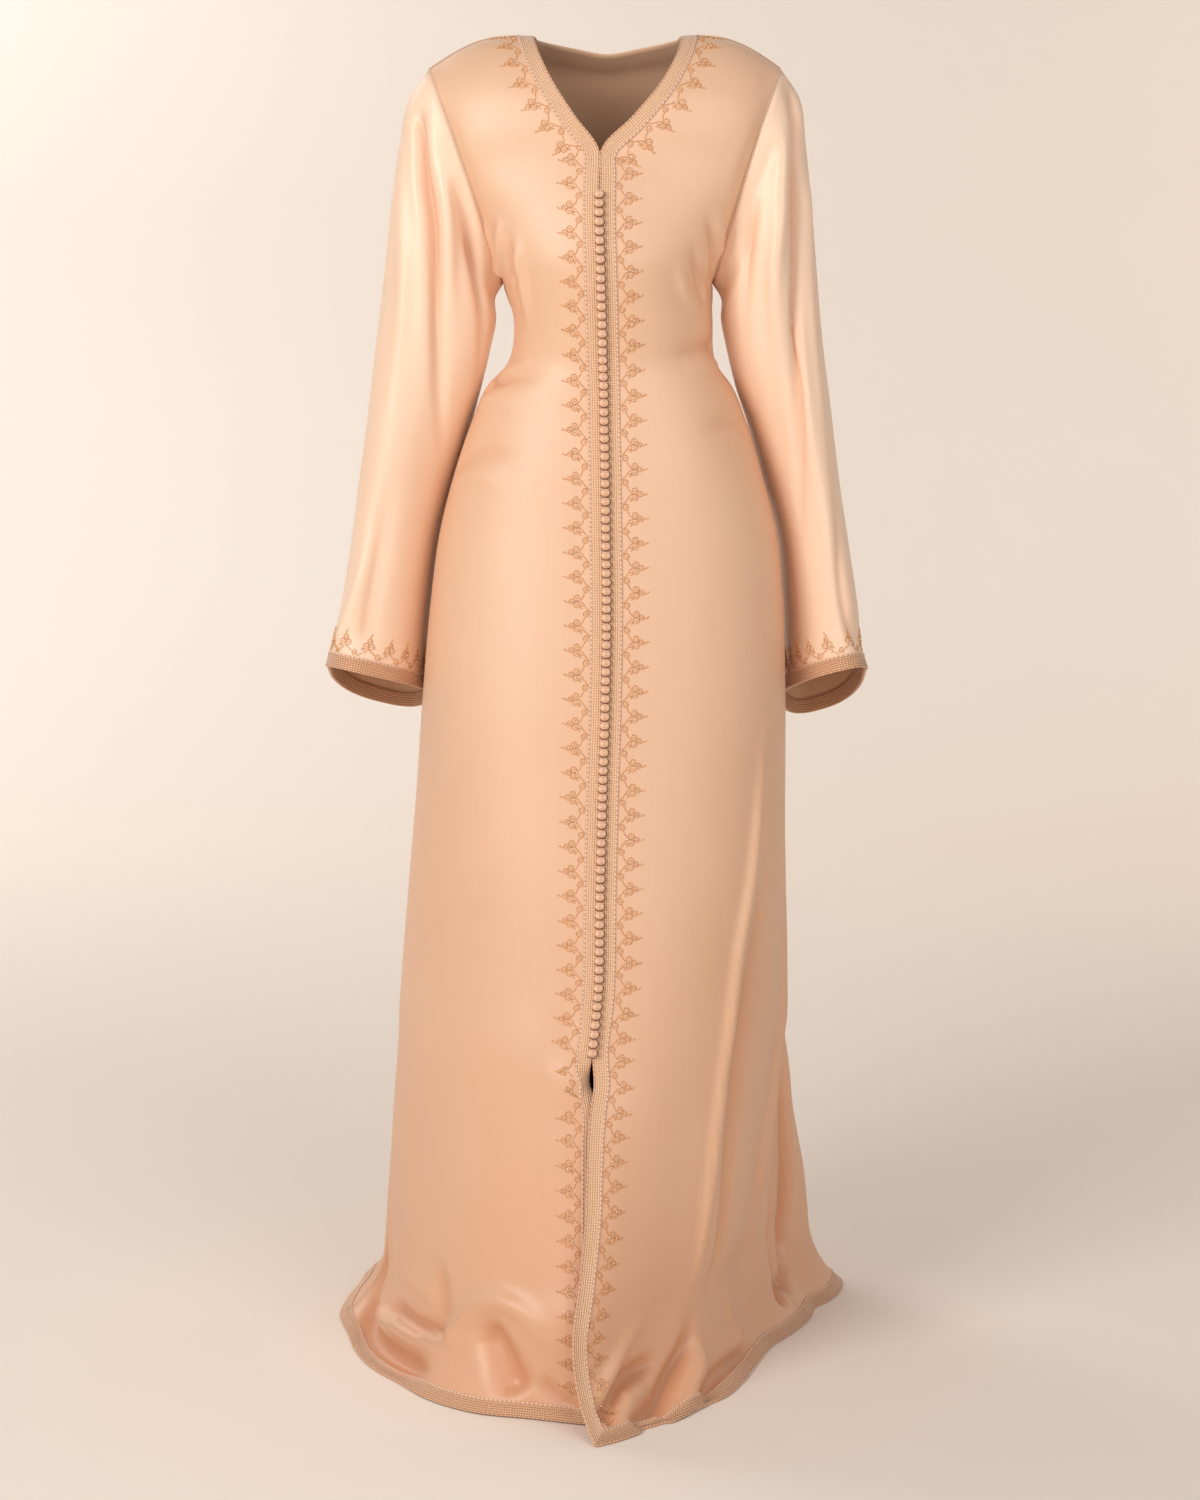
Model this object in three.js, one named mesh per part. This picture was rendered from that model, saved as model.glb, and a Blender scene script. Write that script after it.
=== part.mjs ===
import * as THREE from 'three';

// A floor-length kaftan of heavy satin, hollow and held in the shape it takes on a standing wearer.
// Millimetres, +Z up, the front towards -Y and the wearer's left towards +X. The origin lies midway
// between the two points where the neck edge meets the shoulder seams.

// ---------------------------------------------------------------- driving sizes
const FLOOR = -1440;
const CLOTH = 1.6;
const GAP = 0.3;
const BRAID = { width: 17, thick: 1.3 };
const FACING_THICK = 1;
const KNOT = {
  radius: 4.5, pitch: 9.4, neck: 1.5, sides: 5, perGroup: 8, groups: 12, bottom: -1063, belly: 0.24,
};

const FRONT_COLUMNS = 9;
const NECK_COLUMNS = 4;
const ARMHOLE_STEP = 18;
const CURVE_SAMPLES = 120;

const point = (x, y, z) => new THREE.Vector3(x, y, z);
const mix = THREE.MathUtils.lerp;
const radians = THREE.MathUtils.degToRad;
const table = (names, rows) => rows.map((row) => Object.fromEntries(names.map((name, i) => [name, row[i]])));

// ---------------------------------------------------------------- body sections
// Each row is a level section of the worn robe, from just above the flare of the hem up to the
// underarm: the x of the two front edges, the y of each front at its edge, the x of the side seams,
// the y of the side seams and of the centre back, how square each front is, and the greatest x of
// the back behind the left side seam, where the skirt fans out past the front.
const SECTIONS = table(
  ['z', 'edgeRight', 'edgeLeft', 'frontRight', 'frontLeft', 'right', 'left', 'side', 'back',
    'roundRight', 'roundLeft', 'lobe'],
  [
    [-1346, -11.0, -38.0, -292, -311, -257, 188, 60, 300, 1.75, 1.30, 238],
    [-1295, -11.0, -32.0, -276, -288, -253, 189, 52, 284, 1.80, 1.45, 232],
    [-1222, -11.0, -24.5, -256, -265, -247, 191, 44, 262, 1.90, 1.60, 219],
    [-1158, -11.0, -22.5, -240, -247, -242, 193, 38, 244, 2.00, 1.75, 211],
    [-1116, -11.5, -19.4, -231, -235, -238, 194, 34, 232, 2.05, 1.85, 205],
    [-1090, -13.0, -15.7, -225, -226, -236, 195, 31, 224, 2.10, 1.90, 201],
    [-1064, -17.3, -17.3, -219, -219, -235, 196, 28, 216, 2.10, 2.00, 198],
    [-1000, -11.0, -11.0, -204, -204, -230, 196, 24, 198, 2.15, 2.10, 196],
    [-900, -8.9, -8.9, -183, -183, -221, 197, 20, 175, 2.20, 2.20, 197],
    [-800, -6.5, -6.5, -164, -164, -212, 197, 16, 157, 2.25, 2.25, 197],
    [-700, -3.5, -3.5, -147, -147, -204.5, 196, 13, 144, 2.30, 2.30, 196],
    [-600, -2.0, -2.0, -133, -133, -195, 192.5, 11, 135, 2.30, 2.30, 192.5],
    [-527, -2.7, -2.7, -123, -123, -185, 185, 10, 127, 2.30, 2.30, 185],
    [-460, -3.5, -3.5, -114, -114, -168, 168, 9, 113, 2.30, 2.30, 168],
    [-405, -4.5, -4.5, -106, -106, -149, 151, 9, 98, 2.30, 2.30, 151],
    [-366, -5.0, -5.0, -102, -102, -132, 135, 10, 90, 2.30, 2.30, 135],
    [-340, -5.8, -5.8, -101, -101, -109, 117, 10, 87, 2.30, 2.30, 117],
    [-295, -6.8, -6.8, -109, -109, -102, 113, 11, 88, 2.35, 2.35, 113],
  ],
);
const LOBE_TUCK = 0.1;
const BACK_ROUND = { hem: 2.9, hemZ: -1346, hips: 2.3, hipsZ: -900 };

// The upper front edge and the centre back at each row that ends on the armhole, underarm to chest.
const CHEST = table(
  ['edge', 'edgeZ', 'edgeY', 'backZ', 'backY', 'round'],
  [
    [-8.0, -252, -117, -252, 92, 2.30],
    [-8.7, -225, -118, -224, 96, 2.25],
    [-9.6, -199, -115, -196, 99, 2.20],
    [-9.8, -172, -109, -168, 100, 2.10],
    [-9.3, -145, -102, -140, 99, 2.05],
    [-8.9, -119, -94, -112, 97, 2.00],
  ],
);
const NECK = { right: point(-80.8, -5, 5.9), left: point(79.1, -5, 5.9), back: point(-1, 60, -7) };
const ARMHOLES = {
  right: {
    top: point(-192, -8, -28), under: point(-114, 12, -252),
    front: point(-152, -56, -135), back: point(-155, 64, -135),
  },
  left: {
    top: point(184, -8, -27), under: point(113, 12, -252),
    front: point(147, -56, -135), back: point(150, 64, -135),
  },
};

// ---------------------------------------------------------------- sleeves
// Each row is a slanted ring round the arm: its outer and inner points, the y of its front and back
// and how far those two stand above the ring's middle. The first ring is the armhole itself.
const RING_COLUMNS = [
  'outX', 'outY', 'outZ', 'inX', 'inY', 'inZ', 'frontY', 'backY', 'frontRise', 'backRise', 'round',
];
const SLEEVES = {
  right: table(RING_COLUMNS, [
    [-213.5, -1, -58, -124, 14, -270, -60, 70, 5, 5, 2.0],
    [-224.5, 5, -105, -123, 16, -292, -63, 78, 5, 5, 2.0],
    [-234, 10, -165, -129, 20, -322, -62, 88, 5, 4, 2.0],
    [-242, 16, -235, -139, 30, -362, -58, 98, 5, 2, 2.05],
    [-252, 21, -310, -153, 50, -412, -52, 108, 6, 0, 2.1],
    [-262, 25, -390, -166, 80, -468, -46, 116, 8, -6, 2.15],
    [-273.5, 29, -470, -184, 84, -530, -42, 121, 10, -12, 2.2],
    [-285, 32, -550, -194, 88, -594, -40, 124, 12, -20, 2.3],
    [-296.5, 34, -615, -200, 90, -646, -38, 124, 14, -28, 2.4],
    [-308, 35, -662, -203, 92, -695, -38, 122, 15, -33, 2.5],
    [-312, 35, -678.5, -204, 92, -712, -38, 121, 15.5, -34, 2.5],
  ]),
  left: table(RING_COLUMNS, [
    [205.5, -1, -58, 124, 14, -270, -60, 70, 5, 5, 2.0],
    [212.5, 5, -105, 124, 16, -292, -63, 78, 5, 5, 2.0],
    [219.5, 10, -165, 130, 20, -322, -62, 88, 5, 4, 2.0],
    [226, 16, -235, 140, 30, -362, -58, 98, 5, 2, 2.05],
    [233, 21, -310, 157, 50, -412, -52, 108, 6, 0, 2.1],
    [243.5, 25, -390, 170, 80, -468, -46, 116, 8, -6, 2.15],
    [254, 29, -470, 188, 84, -530, -42, 121, 10, -12, 2.2],
    [266.5, 32, -550, 195, 88, -594, -40, 124, 14, -20, 2.3],
    [276.5, 34, -615, 198, 90, -650, -38, 124, 18, -30, 2.4],
    [282, 35, -667, 199, 92, -699, -38, 122, 22, -37, 2.5],
    [287, 35, -683.5, 199, 92, -716, -38, 121, 23, -38, 2.5],
  ]),
};

// ---------------------------------------------------------------- hem flare and folds
// Near the floor the cloth turns outwards. A flare of 1 meets the floor at STEEPEST_FLARE degrees and
// a flare of 0 drops straight down.
const STEEPEST_FLARE = 35;
const FLARE_ROWS = [0.34, 0.56, 0.78];
const FLARE_STEPS = 40;
const FLARES = {
  right: (f) => mix(0.15, 1.08, THREE.MathUtils.smoothstep(f, 0.05, 0.85)),
  left: (f) => 1 + 0.1 * Math.sin(2 * Math.PI * f) - 0.15 * Math.sin(Math.PI * f),
  back: (f) => mix(mix(1.08, 1, f), 0.75, Math.sin(Math.PI * f)),
};

// Large folds: the panel, where the fold crosses it at its top and bottom (0 at the front edge or the
// right seam, 1 at the far seam), its half-width as a share of the panel, its height or depth in
// millimetres, and the levels where it starts and where it is full.
const FOLDS = table(
  ['panel', 'atTop', 'atBottom', 'width', 'depth', 'top', 'full'],
  [
    ['left', 0.66, 0.47, 0.13, 12, -930, -1230],
    ['left', 0.90, 0.80, 0.10, -9, -1000, -1300],
    ['left', 0.35, 0.22, 0.12, -4, -1290, -1400],
    ['right', 0.80, 0.86, 0.10, -8, -1180, -1380],
    ['right', 0.42, 0.40, 0.10, 10, -1330, -1420],
    ['right', 0.20, 0.18, 0.09, -9, -1330, -1420],
    ['back', 0.22, 0.20, 0.05, 13, -700, -1300],
    ['back', 0.36, 0.37, 0.06, -12, -620, -1250],
    ['back', 0.52, 0.55, 0.06, 14, -640, -1300],
    ['back', 0.70, 0.72, 0.05, -11, -720, -1280],
    ['back', 0.84, 0.84, 0.05, 12, -820, -1300],
  ],
);

// Folds that run down a sleeve: where they lie in degrees round the ring from its outer line by way of
// the front, at the shoulder and at the cuff, the half-width, the depth and the rings they cover.
const FOLD_AT_FIRST_RING = 0.2;
const SLEEVE_FOLDS = {
  right: table(['atTop', 'atCuff', 'width', 'depth', 'from', 'to'], [
    [118, 96, 22, -6, 1, 8],
    [78, 62, 20, -4, 1, 9],
    [225, 240, 26, -7, 2, 10],
    [300, 300, 24, -5, 3, 10],
  ]),
  left: table(['atTop', 'atCuff', 'width', 'depth', 'from', 'to'], [
    [48, 40, 18, -8, 1, 8],
    [110, 78, 20, -5, 2, 10],
    [235, 245, 26, -7, 2, 10],
    [305, 300, 24, -5, 3, 10],
  ]),
};

// ---------------------------------------------------------------- curves
// A quarter of a rounded section, from a point on the middle line to a point at the side.
function quarter(middle, side, round, t) {
  const power = 2 / round;
  const angle = (t * Math.PI) / 2;
  const across = Math.sin(angle) ** power;
  const along = 1 - Math.cos(angle) ** power;
  return point(
    mix(middle.x, side.x, across),
    mix(middle.y, side.y, along),
    mix(middle.z, side.z, across),
  );
}

// A point of a ring round the arm, counted in degrees from its outer point by way of the front.
function ringPoint(ring, degrees) {
  const power = 2 / ring.round;
  const angle = radians(degrees);
  const shape = (value) => Math.sign(value) * Math.abs(value) ** power;
  const centre = ring.out.clone().add(ring.in).multiplyScalar(0.5);
  const across = shape(Math.cos(angle));
  const along = shape(Math.sin(angle));
  const end = along > 0 ? ring.front : ring.back;
  return centre.clone()
    .addScaledVector(ring.out.clone().sub(centre), across)
    .addScaledVector(end.clone().sub(centre), Math.abs(along));
}

function armholePoint(side, degrees) {
  const { top, under, front, back } = ARMHOLES[side];
  return ringPoint({ out: top, in: under, front, back, round: 2 }, degrees);
}

// Points along a curve: the start, one at the braid's width, and the rest evenly to the end.
function spaced(curve, first, count) {
  const samples = [];
  const lengths = [0];
  for (let i = 0; i <= CURVE_SAMPLES; i += 1) {
    samples.push(curve(i / CURVE_SAMPLES));
    if (i > 0) lengths.push(lengths[i - 1] + samples[i].distanceTo(samples[i - 1]));
  }
  const total = lengths[CURVE_SAMPLES];
  const points = [samples[0].clone()];
  for (let i = 1; i < count; i += 1) {
    const target = mix(first, total, (i - 1) / (count - 1));
    const after = lengths.findIndex((length) => length >= target);
    const share = (target - lengths[after - 1]) / (lengths[after] - lengths[after - 1]);
    points.push(samples[after - 1].clone().lerp(samples[after], share));
  }
  points.push(samples[CURVE_SAMPLES].clone());
  return points;
}

// ---------------------------------------------------------------- the rows of the body
// The share of the back's half-width that lies below the shoulder seam.
const SHOULDER_SHARE = 0.52;
const SHOULDER_RISE = 13;
const NECK_ROUND = 2.3;
// How far each half of the neck edge bows out from a straight V, most of all near its middle.
const NECK_BOW = { right: -7, left: 12.5, back: 0 };
const NECK_BOW_LEAN = 1.3;

// The back half-row from a side seam to the centre back: closely set below the shoulder seam, wider
// below the neck.
function backShares() {
  const steps = (count) => Array.from({ length: count }, (_, i) => i);
  return [
    ...steps(FRONT_COLUMNS).map((i) => (SHOULDER_SHARE * i) / FRONT_COLUMNS),
    ...steps(NECK_COLUMNS + 1).map((i) => mix(SHOULDER_SHARE, 1, i / NECK_COLUMNS)),
  ];
}

function backHalf(middle, side, lobe, round) {
  const outer = point(lobe, side.y, side.z);
  return backShares().map((share) => {
    const place = quarter(middle, outer, round, 1 - share);
    place.x += (side.x - lobe) * Math.exp(-((share / LOBE_TUCK) ** 2));
    return place;
  });
}

function bodyRow(rightEdge, leftEdge, rightSide, leftSide, middleBack, rounds, lobe) {
  const front = (edge, side, round) => spaced(
    (t) => quarter(edge, side, round, t),
    BRAID.width,
    FRONT_COLUMNS,
  );
  const rightHalf = backHalf(middleBack, rightSide, rightSide.x, rounds.back);
  const leftHalf = backHalf(middleBack, leftSide, lobe, rounds.back);
  return {
    right: front(rightEdge, rightSide, rounds.right),
    left: front(leftEdge, leftSide, rounds.left),
    back: [...rightHalf, ...leftHalf.reverse().slice(1)],
  };
}

function sectionRows() {
  return SECTIONS.map((s) => bodyRow(
    point(s.edgeRight, s.frontRight, s.z),
    point(s.edgeLeft, s.frontLeft, s.z),
    point(s.right, s.side, s.z),
    point(s.left, s.side, s.z),
    point(0, s.back, s.z),
    {
      right: s.roundRight,
      left: s.roundLeft,
      back: mix(
        BACK_ROUND.hem,
        BACK_ROUND.hips,
        THREE.MathUtils.smoothstep(s.z, BACK_ROUND.hemZ, BACK_ROUND.hipsZ),
      ),
    },
    s.lobe,
  ));
}

function chestRows() {
  return CHEST.map((s, i) => {
    const rowAt = (degrees) => bodyRow(
      point(s.edge, s.edgeY, s.edgeZ),
      point(s.edge, s.edgeY, s.edgeZ),
      armholePoint('right', degrees),
      armholePoint('left', degrees),
      point(0, s.backY, s.backZ),
      { right: s.round, left: s.round, back: BACK_ROUND.hips },
      armholePoint('left', degrees).x,
    );
    const ahead = rowAt(180 - ARMHOLE_STEP * i);
    const behind = rowAt(180 + ARMHOLE_STEP * i);
    return { ...ahead, back: behind.back };
  });
}

// From the chest row to the shoulder seam and the back of the neck each column is a quarter ellipse
// that leaves the chest upright and arrives at the shoulder level.
function crown(low, high, degrees) {
  const corner = point(low.x, high.y, low.z);
  const angle = radians(degrees);
  return corner.clone()
    .addScaledVector(high.clone().sub(corner), Math.sin(angle))
    .addScaledVector(low.clone().sub(corner), Math.cos(angle));
}

function shoulderRow() {
  const seamPoint = (side, t) => {
    const place = NECK[side].clone().lerp(ARMHOLES[side].top, t);
    place.z += SHOULDER_RISE * Math.sin(Math.PI * t);
    return place;
  };
  const shoulder = (side) => spaced((t) => seamPoint(side, t), BRAID.width, FRONT_COLUMNS);
  const neck = (side) => {
    const points = [];
    for (let i = 1; i < NECK_COLUMNS; i += 1) {
      points.push(quarter(NECK.back, NECK[side], NECK_ROUND, 1 - i / NECK_COLUMNS));
    }
    return points;
  };
  const right = shoulder('right');
  const left = shoulder('left');
  const neckEdge = [...neck('right'), NECK.back.clone(), ...neck('left').reverse()];
  const back = [...[...right].reverse(), ...neckEdge, ...left];
  return { right, left, back };
}

// The row of the back that bounds the braid round the neck: the braid's width in from the neck edge.
function backBraidRow(top, below) {
  const last = top.length - 1;
  const firstNeck = FRONT_COLUMNS;
  return top.map((high, i) => {
    const column = Math.min(i, last - i);
    const down = below[i].clone().sub(high).normalize();
    if (column === firstNeck) {
      const along = top[i === firstNeck ? i - 1 : i + 1].clone().sub(high).normalize();
      return high.clone().addScaledVector(down.add(along).normalize(), BRAID.width);
    }
    if (column > firstNeck) return high.clone().addScaledVector(down, BRAID.width);
    if (column === firstNeck - 1) return high.clone().addScaledVector(down, BRAID.width / 2);
    return null;
  });
}

function crownRows(chest) {
  const top = shoulderRow();
  const rows = [];
  for (let degrees = ARMHOLE_STEP; degrees < 90; degrees += ARMHOLE_STEP) {
    const row = {};
    for (const panel of ['right', 'left', 'back']) {
      row[panel] = top[panel].map((high, i) => {
        const place = crown(chest[panel][i], high, degrees);
        const bow = Math.sin(Math.PI * Math.sin(radians(degrees)) ** NECK_BOW_LEAN);
        place.x += NECK_BOW[panel] * bow * Math.max(0, 1 - i / FRONT_COLUMNS);
        return place;
      });
    }
    row.right[FRONT_COLUMNS] = armholePoint('right', 90 - degrees);
    row.left[FRONT_COLUMNS] = armholePoint('left', 90 - degrees);
    row.back[0] = armholePoint('right', 270 + degrees);
    row.back[row.back.length - 1] = armholePoint('left', 270 + degrees);
    rows.push(row);
  }
  const upper = rows[rows.length - 1];
  const braid = backBraidRow(top.back, rows[rows.length - 2].back);
  upper.back = upper.back.map((place, i) => braid[i] ?? place);
  return [...rows, top];
}

// ---------------------------------------------------------------- the flare at the hem
function outwards(row, i) {
  const before = row[Math.max(i - 1, 0)];
  const after = row[Math.min(i + 1, row.length - 1)];
  return point(after.y - before.y, before.x - after.x, 0).normalize();
}

// The last stretch of one column: points from the hem up to just below the first section.
function flareColumn(base, direction, flare) {
  const drop = base.z - (FLOOR + CLOTH / 2);
  const turn = radians((90 - STEEPEST_FLARE) * Math.max(flare, 0.01));
  const steepness = Math.cos(Math.PI / 2 - turn) / turn;
  const length = drop / steepness;
  const place = (s) => {
    const result = base.clone();
    for (let k = 0; k < FLARE_STEPS; k += 1) {
      const along = mix(s, length, (k + 0.5) / FLARE_STEPS);
      const angle = Math.PI / 2 - turn * (1 - along / length);
      const step = (length - s) / FLARE_STEPS;
      result.addScaledVector(direction, Math.cos(angle) * step);
      result.z -= Math.sin(angle) * step;
    }
    return result;
  };
  return [place(0), place(BRAID.width), ...FLARE_ROWS.map((share) => place(share * length))];
}

function flareRows(first) {
  const rows = Array.from({ length: FLARE_ROWS.length + 2 }, () => ({ right: [], left: [], back: [] }));
  const ring = [...first.right, ...first.back.slice(1), ...[...first.left].reverse().slice(1)];
  const count = { right: 0, back: FRONT_COLUMNS, left: ring.length - 1 };
  for (const panel of ['right', 'left', 'back']) {
    first[panel].forEach((base, i) => {
      const at = panel === 'left' ? count.left - i : count[panel] + i;
      const share = i / (first[panel].length - 1);
      const direction = outwards(ring, at).negate();
      flareColumn(base, direction, FLARES[panel](share)).forEach((place, k) => rows[k][panel].push(place));
    });
  }
  return rows;
}

// ---------------------------------------------------------------- folds and the front opening
// The share of a panel beside each seam over which its folds die away.
const SEAM_STILL = 0.125;
const bump = (distance, width) => Math.exp(-((distance / width) ** 2));

function foldHeight(panel, share, z) {
  return FOLDS.filter((fold) => fold.panel === panel).reduce((sum, fold) => {
    const grown = THREE.MathUtils.smoothstep(fold.top - z, 0, fold.top - fold.full);
    const at = mix(fold.atTop, fold.atBottom, grown);
    return sum + fold.depth * grown * bump(share - at, fold.width);
  }, 0);
}

// Below the last knot the right front rolls in at its edge and passes under the left front.
// Depths are those of the edge, of the braid's far side and of the next point.
const UNDERLAP = { top: -1064, rollAt: -1090, rollX: -21.3, rolled: [14, 0.5, 0.5], flat: [6, 4.5, 2] };

function underlap(row) {
  const z = row.right[0].z;
  if (z >= UNDERLAP.top) return;
  const rolled = Math.abs(z - UNDERLAP.rollAt) < 1;
  if (rolled) row.right[0].x = UNDERLAP.rollX;
  (rolled ? UNDERLAP.rolled : UNDERLAP.flat).forEach((depth, i) => { row.right[i].y += depth; });
}

function applyFolds(rows) {
  for (const row of rows) {
    for (const panel of ['right', 'left', 'back']) {
      const pushes = row[panel].map((place, i) => {
        const share = i / (row[panel].length - 1);
        const seam = Math.min(1, share / SEAM_STILL, (1 - share) / SEAM_STILL);
        const direction = outwards(row[panel], i);
        const sign = panel === 'left' ? 1 : -1;
        return direction.multiplyScalar(sign * seam * foldHeight(panel, share, place.z));
      });
      pushes.forEach((push, i) => row[panel][i].add(push));
    }
  }
}

const sections = sectionRows();
const chest = chestRows();
const bodyRows = [...flareRows(sections[0]), ...sections, ...chest, ...crownRows(chest[chest.length - 1])];
applyFolds(bodyRows);
bodyRows.forEach(underlap);
const grids = {};
for (const panel of ['right', 'left', 'back']) grids[panel] = bodyRows.map((row) => row[panel]);

const UNDERARM_ROW = bodyRows.length - (CHEST.length + 90 / ARMHOLE_STEP);

// ---------------------------------------------------------------- sleeve rings
function sleeveRings(side) {
  const { top, under, front, back } = ARMHOLES[side];
  const rings = [{ out: top, in: under, front, back, round: 2 }];
  for (const row of SLEEVES[side]) {
    const out = point(row.outX, row.outY, row.outZ);
    const inner = point(row.inX, row.inY, row.inZ);
    const middle = out.clone().add(inner).multiplyScalar(0.5);
    rings.push({
      out,
      in: inner,
      front: point(middle.x, row.frontY, middle.z + row.frontRise),
      back: point(middle.x, row.backY, middle.z + row.backRise),
      round: row.round,
    });
  }
  return rings;
}

function sleeveGrid(side) {
  const rings = sleeveRings(side);
  return rings.map((ring, k) => {
    const centre = ring.out.clone().add(ring.in).multiplyScalar(0.5);
    const points = [];
    for (let degrees = 0; degrees < 360; degrees += ARMHOLE_STEP) {
      const place = ringPoint(ring, degrees);
      const outward = place.clone().sub(centre).normalize();
      for (const fold of SLEEVE_FOLDS[side]) {
        const run = THREE.MathUtils.clamp((k - fold.from) / (fold.to - fold.from), 0, 1);
        const grown = Math.sin(Math.PI * mix(FOLD_AT_FIRST_RING, 1, run));
        const strength = k >= fold.from ? grown : 0;
        const away = degrees - mix(fold.atTop, fold.atCuff, run);
        place.addScaledVector(outward, fold.depth * strength * bump(away, fold.width));
      }
      points.push(place);
    }
    return points;
  });
}

const sleeves = { right: sleeveGrid('right'), left: sleeveGrid('left') };

// ---------------------------------------------------------------- walls of cloth
// Normals at the points of the grids. Points that two panels share get one normal, so the panels'
// edges meet in one plane.
const key = (place) => `${place.x.toFixed(3)},${place.y.toFixed(3)},${place.z.toFixed(3)}`;

function addNormals(sums, grid, closed, sign) {
  const rows = grid.length;
  const columns = grid[0].length;
  const steps = closed ? columns : columns - 1;
  for (let i = 0; i < rows - 1; i += 1) {
    for (let j = 0; j < steps; j += 1) {
      const next = (j + 1) % columns;
      const corners = [grid[i][j], grid[i][next], grid[i + 1][next], grid[i + 1][j]];
      const across = corners[2].clone().sub(corners[0]);
      const normal = across.cross(corners[3].clone().sub(corners[1])).normalize().multiplyScalar(sign);
      for (const corner of corners) {
        const sum = sums.get(key(corner)) ?? point(0, 0, 0);
        sums.set(key(corner), sum.add(normal));
      }
    }
  }
}

const bodyNormals = new Map();
addNormals(bodyNormals, grids.right, false, -1);
addNormals(bodyNormals, grids.back, false, -1);
addNormals(bodyNormals, grids.left, false, 1);
const sleeveNormals = { right: new Map(), left: new Map() };
addNormals(sleeveNormals.right, sleeves.right, true, 1);
addNormals(sleeveNormals.left, sleeves.left, true, -1);

const withNormals = (grid, sums) => grid.map((row) => row.map((place) => (
  { place: place.clone(), normal: sums.get(key(place)).clone().normalize() }
)));
const body = {
  right: withNormals(grids.right, bodyNormals),
  back: withNormals(grids.back, bodyNormals),
  left: withNormals(grids.left, bodyNormals),
};
const arms = {
  right: withNormals(sleeves.right, sleeveNormals.right),
  left: withNormals(sleeves.left, sleeveNormals.left),
};

const moved = (node, towards, distance) => {
  const way = towards.place.clone().sub(node.place).normalize();
  return { place: node.place.clone().addScaledVector(way, distance), normal: node.normal };
};

// Draws the edges of a grid in by the given distances.
function drawIn(grid, edges) {
  const last = grid.length - 1;
  const end = grid[0].length - 1;
  const sideways = grid.map((row) => row.map((node, j) => {
    if (j === 0) return moved(node, row[1], edges.first ?? 0);
    if (j === end) return moved(node, row[end - 1], edges.last ?? 0);
    return node;
  }));
  return sideways.map((row, i) => row.map((node, j) => {
    if (i === 0) return moved(node, sideways[1][j], edges.bottom ?? 0);
    if (i === last) return moved(node, sideways[last - 1][j], edges.top ?? 0);
    return node;
  }));
}

// One closed body between two offsets from a grid.
function wall(grid, inner, outer, closed) {
  const rows = grid.length;
  const columns = grid[0].length;
  const positions = [];
  for (const offset of [outer, inner]) {
    for (const node of grid.flat()) {
      positions.push(...node.place.clone().addScaledVector(node.normal, offset).toArray());
    }
  }
  const index = [];
  const at = (side, i, j) => side * rows * columns + i * columns + (j % columns);
  const quad = (a, b, c, d) => index.push(a, b, c, a, c, d);
  const steps = closed ? columns : columns - 1;
  for (let i = 0; i < rows - 1; i += 1) {
    for (let j = 0; j < steps; j += 1) {
      index.push(at(0, i, j), at(0, i, j + 1), at(0, i + 1, j + 1));
      index.push(at(0, i, j), at(0, i + 1, j + 1), at(0, i + 1, j));
      index.push(at(1, i, j), at(1, i + 1, j + 1), at(1, i, j + 1));
      index.push(at(1, i, j), at(1, i + 1, j), at(1, i + 1, j + 1));
    }
  }
  for (let j = 0; j < steps; j += 1) {
    quad(at(0, 0, j), at(1, 0, j), at(1, 0, j + 1), at(0, 0, j + 1));
    quad(at(0, rows - 1, j), at(0, rows - 1, j + 1), at(1, rows - 1, j + 1), at(1, rows - 1, j));
  }
  if (!closed) {
    for (let i = 0; i < rows - 1; i += 1) {
      quad(at(0, i, 0), at(0, i + 1, 0), at(1, i + 1, 0), at(1, i, 0));
      quad(at(0, i, steps), at(1, i, steps), at(1, i + 1, steps), at(0, i + 1, steps));
    }
  }
  return solid(positions, index);
}

// A geometry whose faces point out, whichever way its grid was walked.
function solid(positions, index) {
  let volume = 0;
  const corner = (i) => new THREE.Vector3().fromArray(positions, index[i] * 3);
  for (let i = 0; i < index.length; i += 3) {
    volume += corner(i).dot(corner(i + 1).cross(corner(i + 2)));
  }
  const faces = volume > 0 ? index : index.map((_, i) => index[i - (i % 3) + [0, 2, 1][i % 3]]);
  const geometry = new THREE.BufferGeometry();
  geometry.setAttribute('position', new THREE.Float32BufferAttribute(positions, 3));
  geometry.setIndex(faces);
  return geometry;
}

// ---------------------------------------------------------------- materials
const satin = new THREE.MeshStandardMaterial({ color: 0xe9bf97, roughness: 0.42, metalness: 0 });
const satinBack = new THREE.MeshStandardMaterial({ color: 0x9a6f50, roughness: 0.8, metalness: 0 });
const braidCord = new THREE.MeshStandardMaterial({ color: 0xc99a78, roughness: 0.6, metalness: 0.1 });
const knotCord = new THREE.MeshStandardMaterial({ color: 0xc08a62, roughness: 0.6, metalness: 0.1 });

const kaftan = new THREE.Group();
function addPiece(name, geometry, material) {
  const mesh = new THREE.Mesh(geometry, material);
  mesh.name = name;
  kaftan.add(mesh);
}

// ---------------------------------------------------------------- panels
const HALF = CLOTH / 2;
const SEAM = GAP / 2;
const BRAID_UNDER = HALF + GAP;
const BRAID_OVER = BRAID_UNDER + BRAID.thick;

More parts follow.
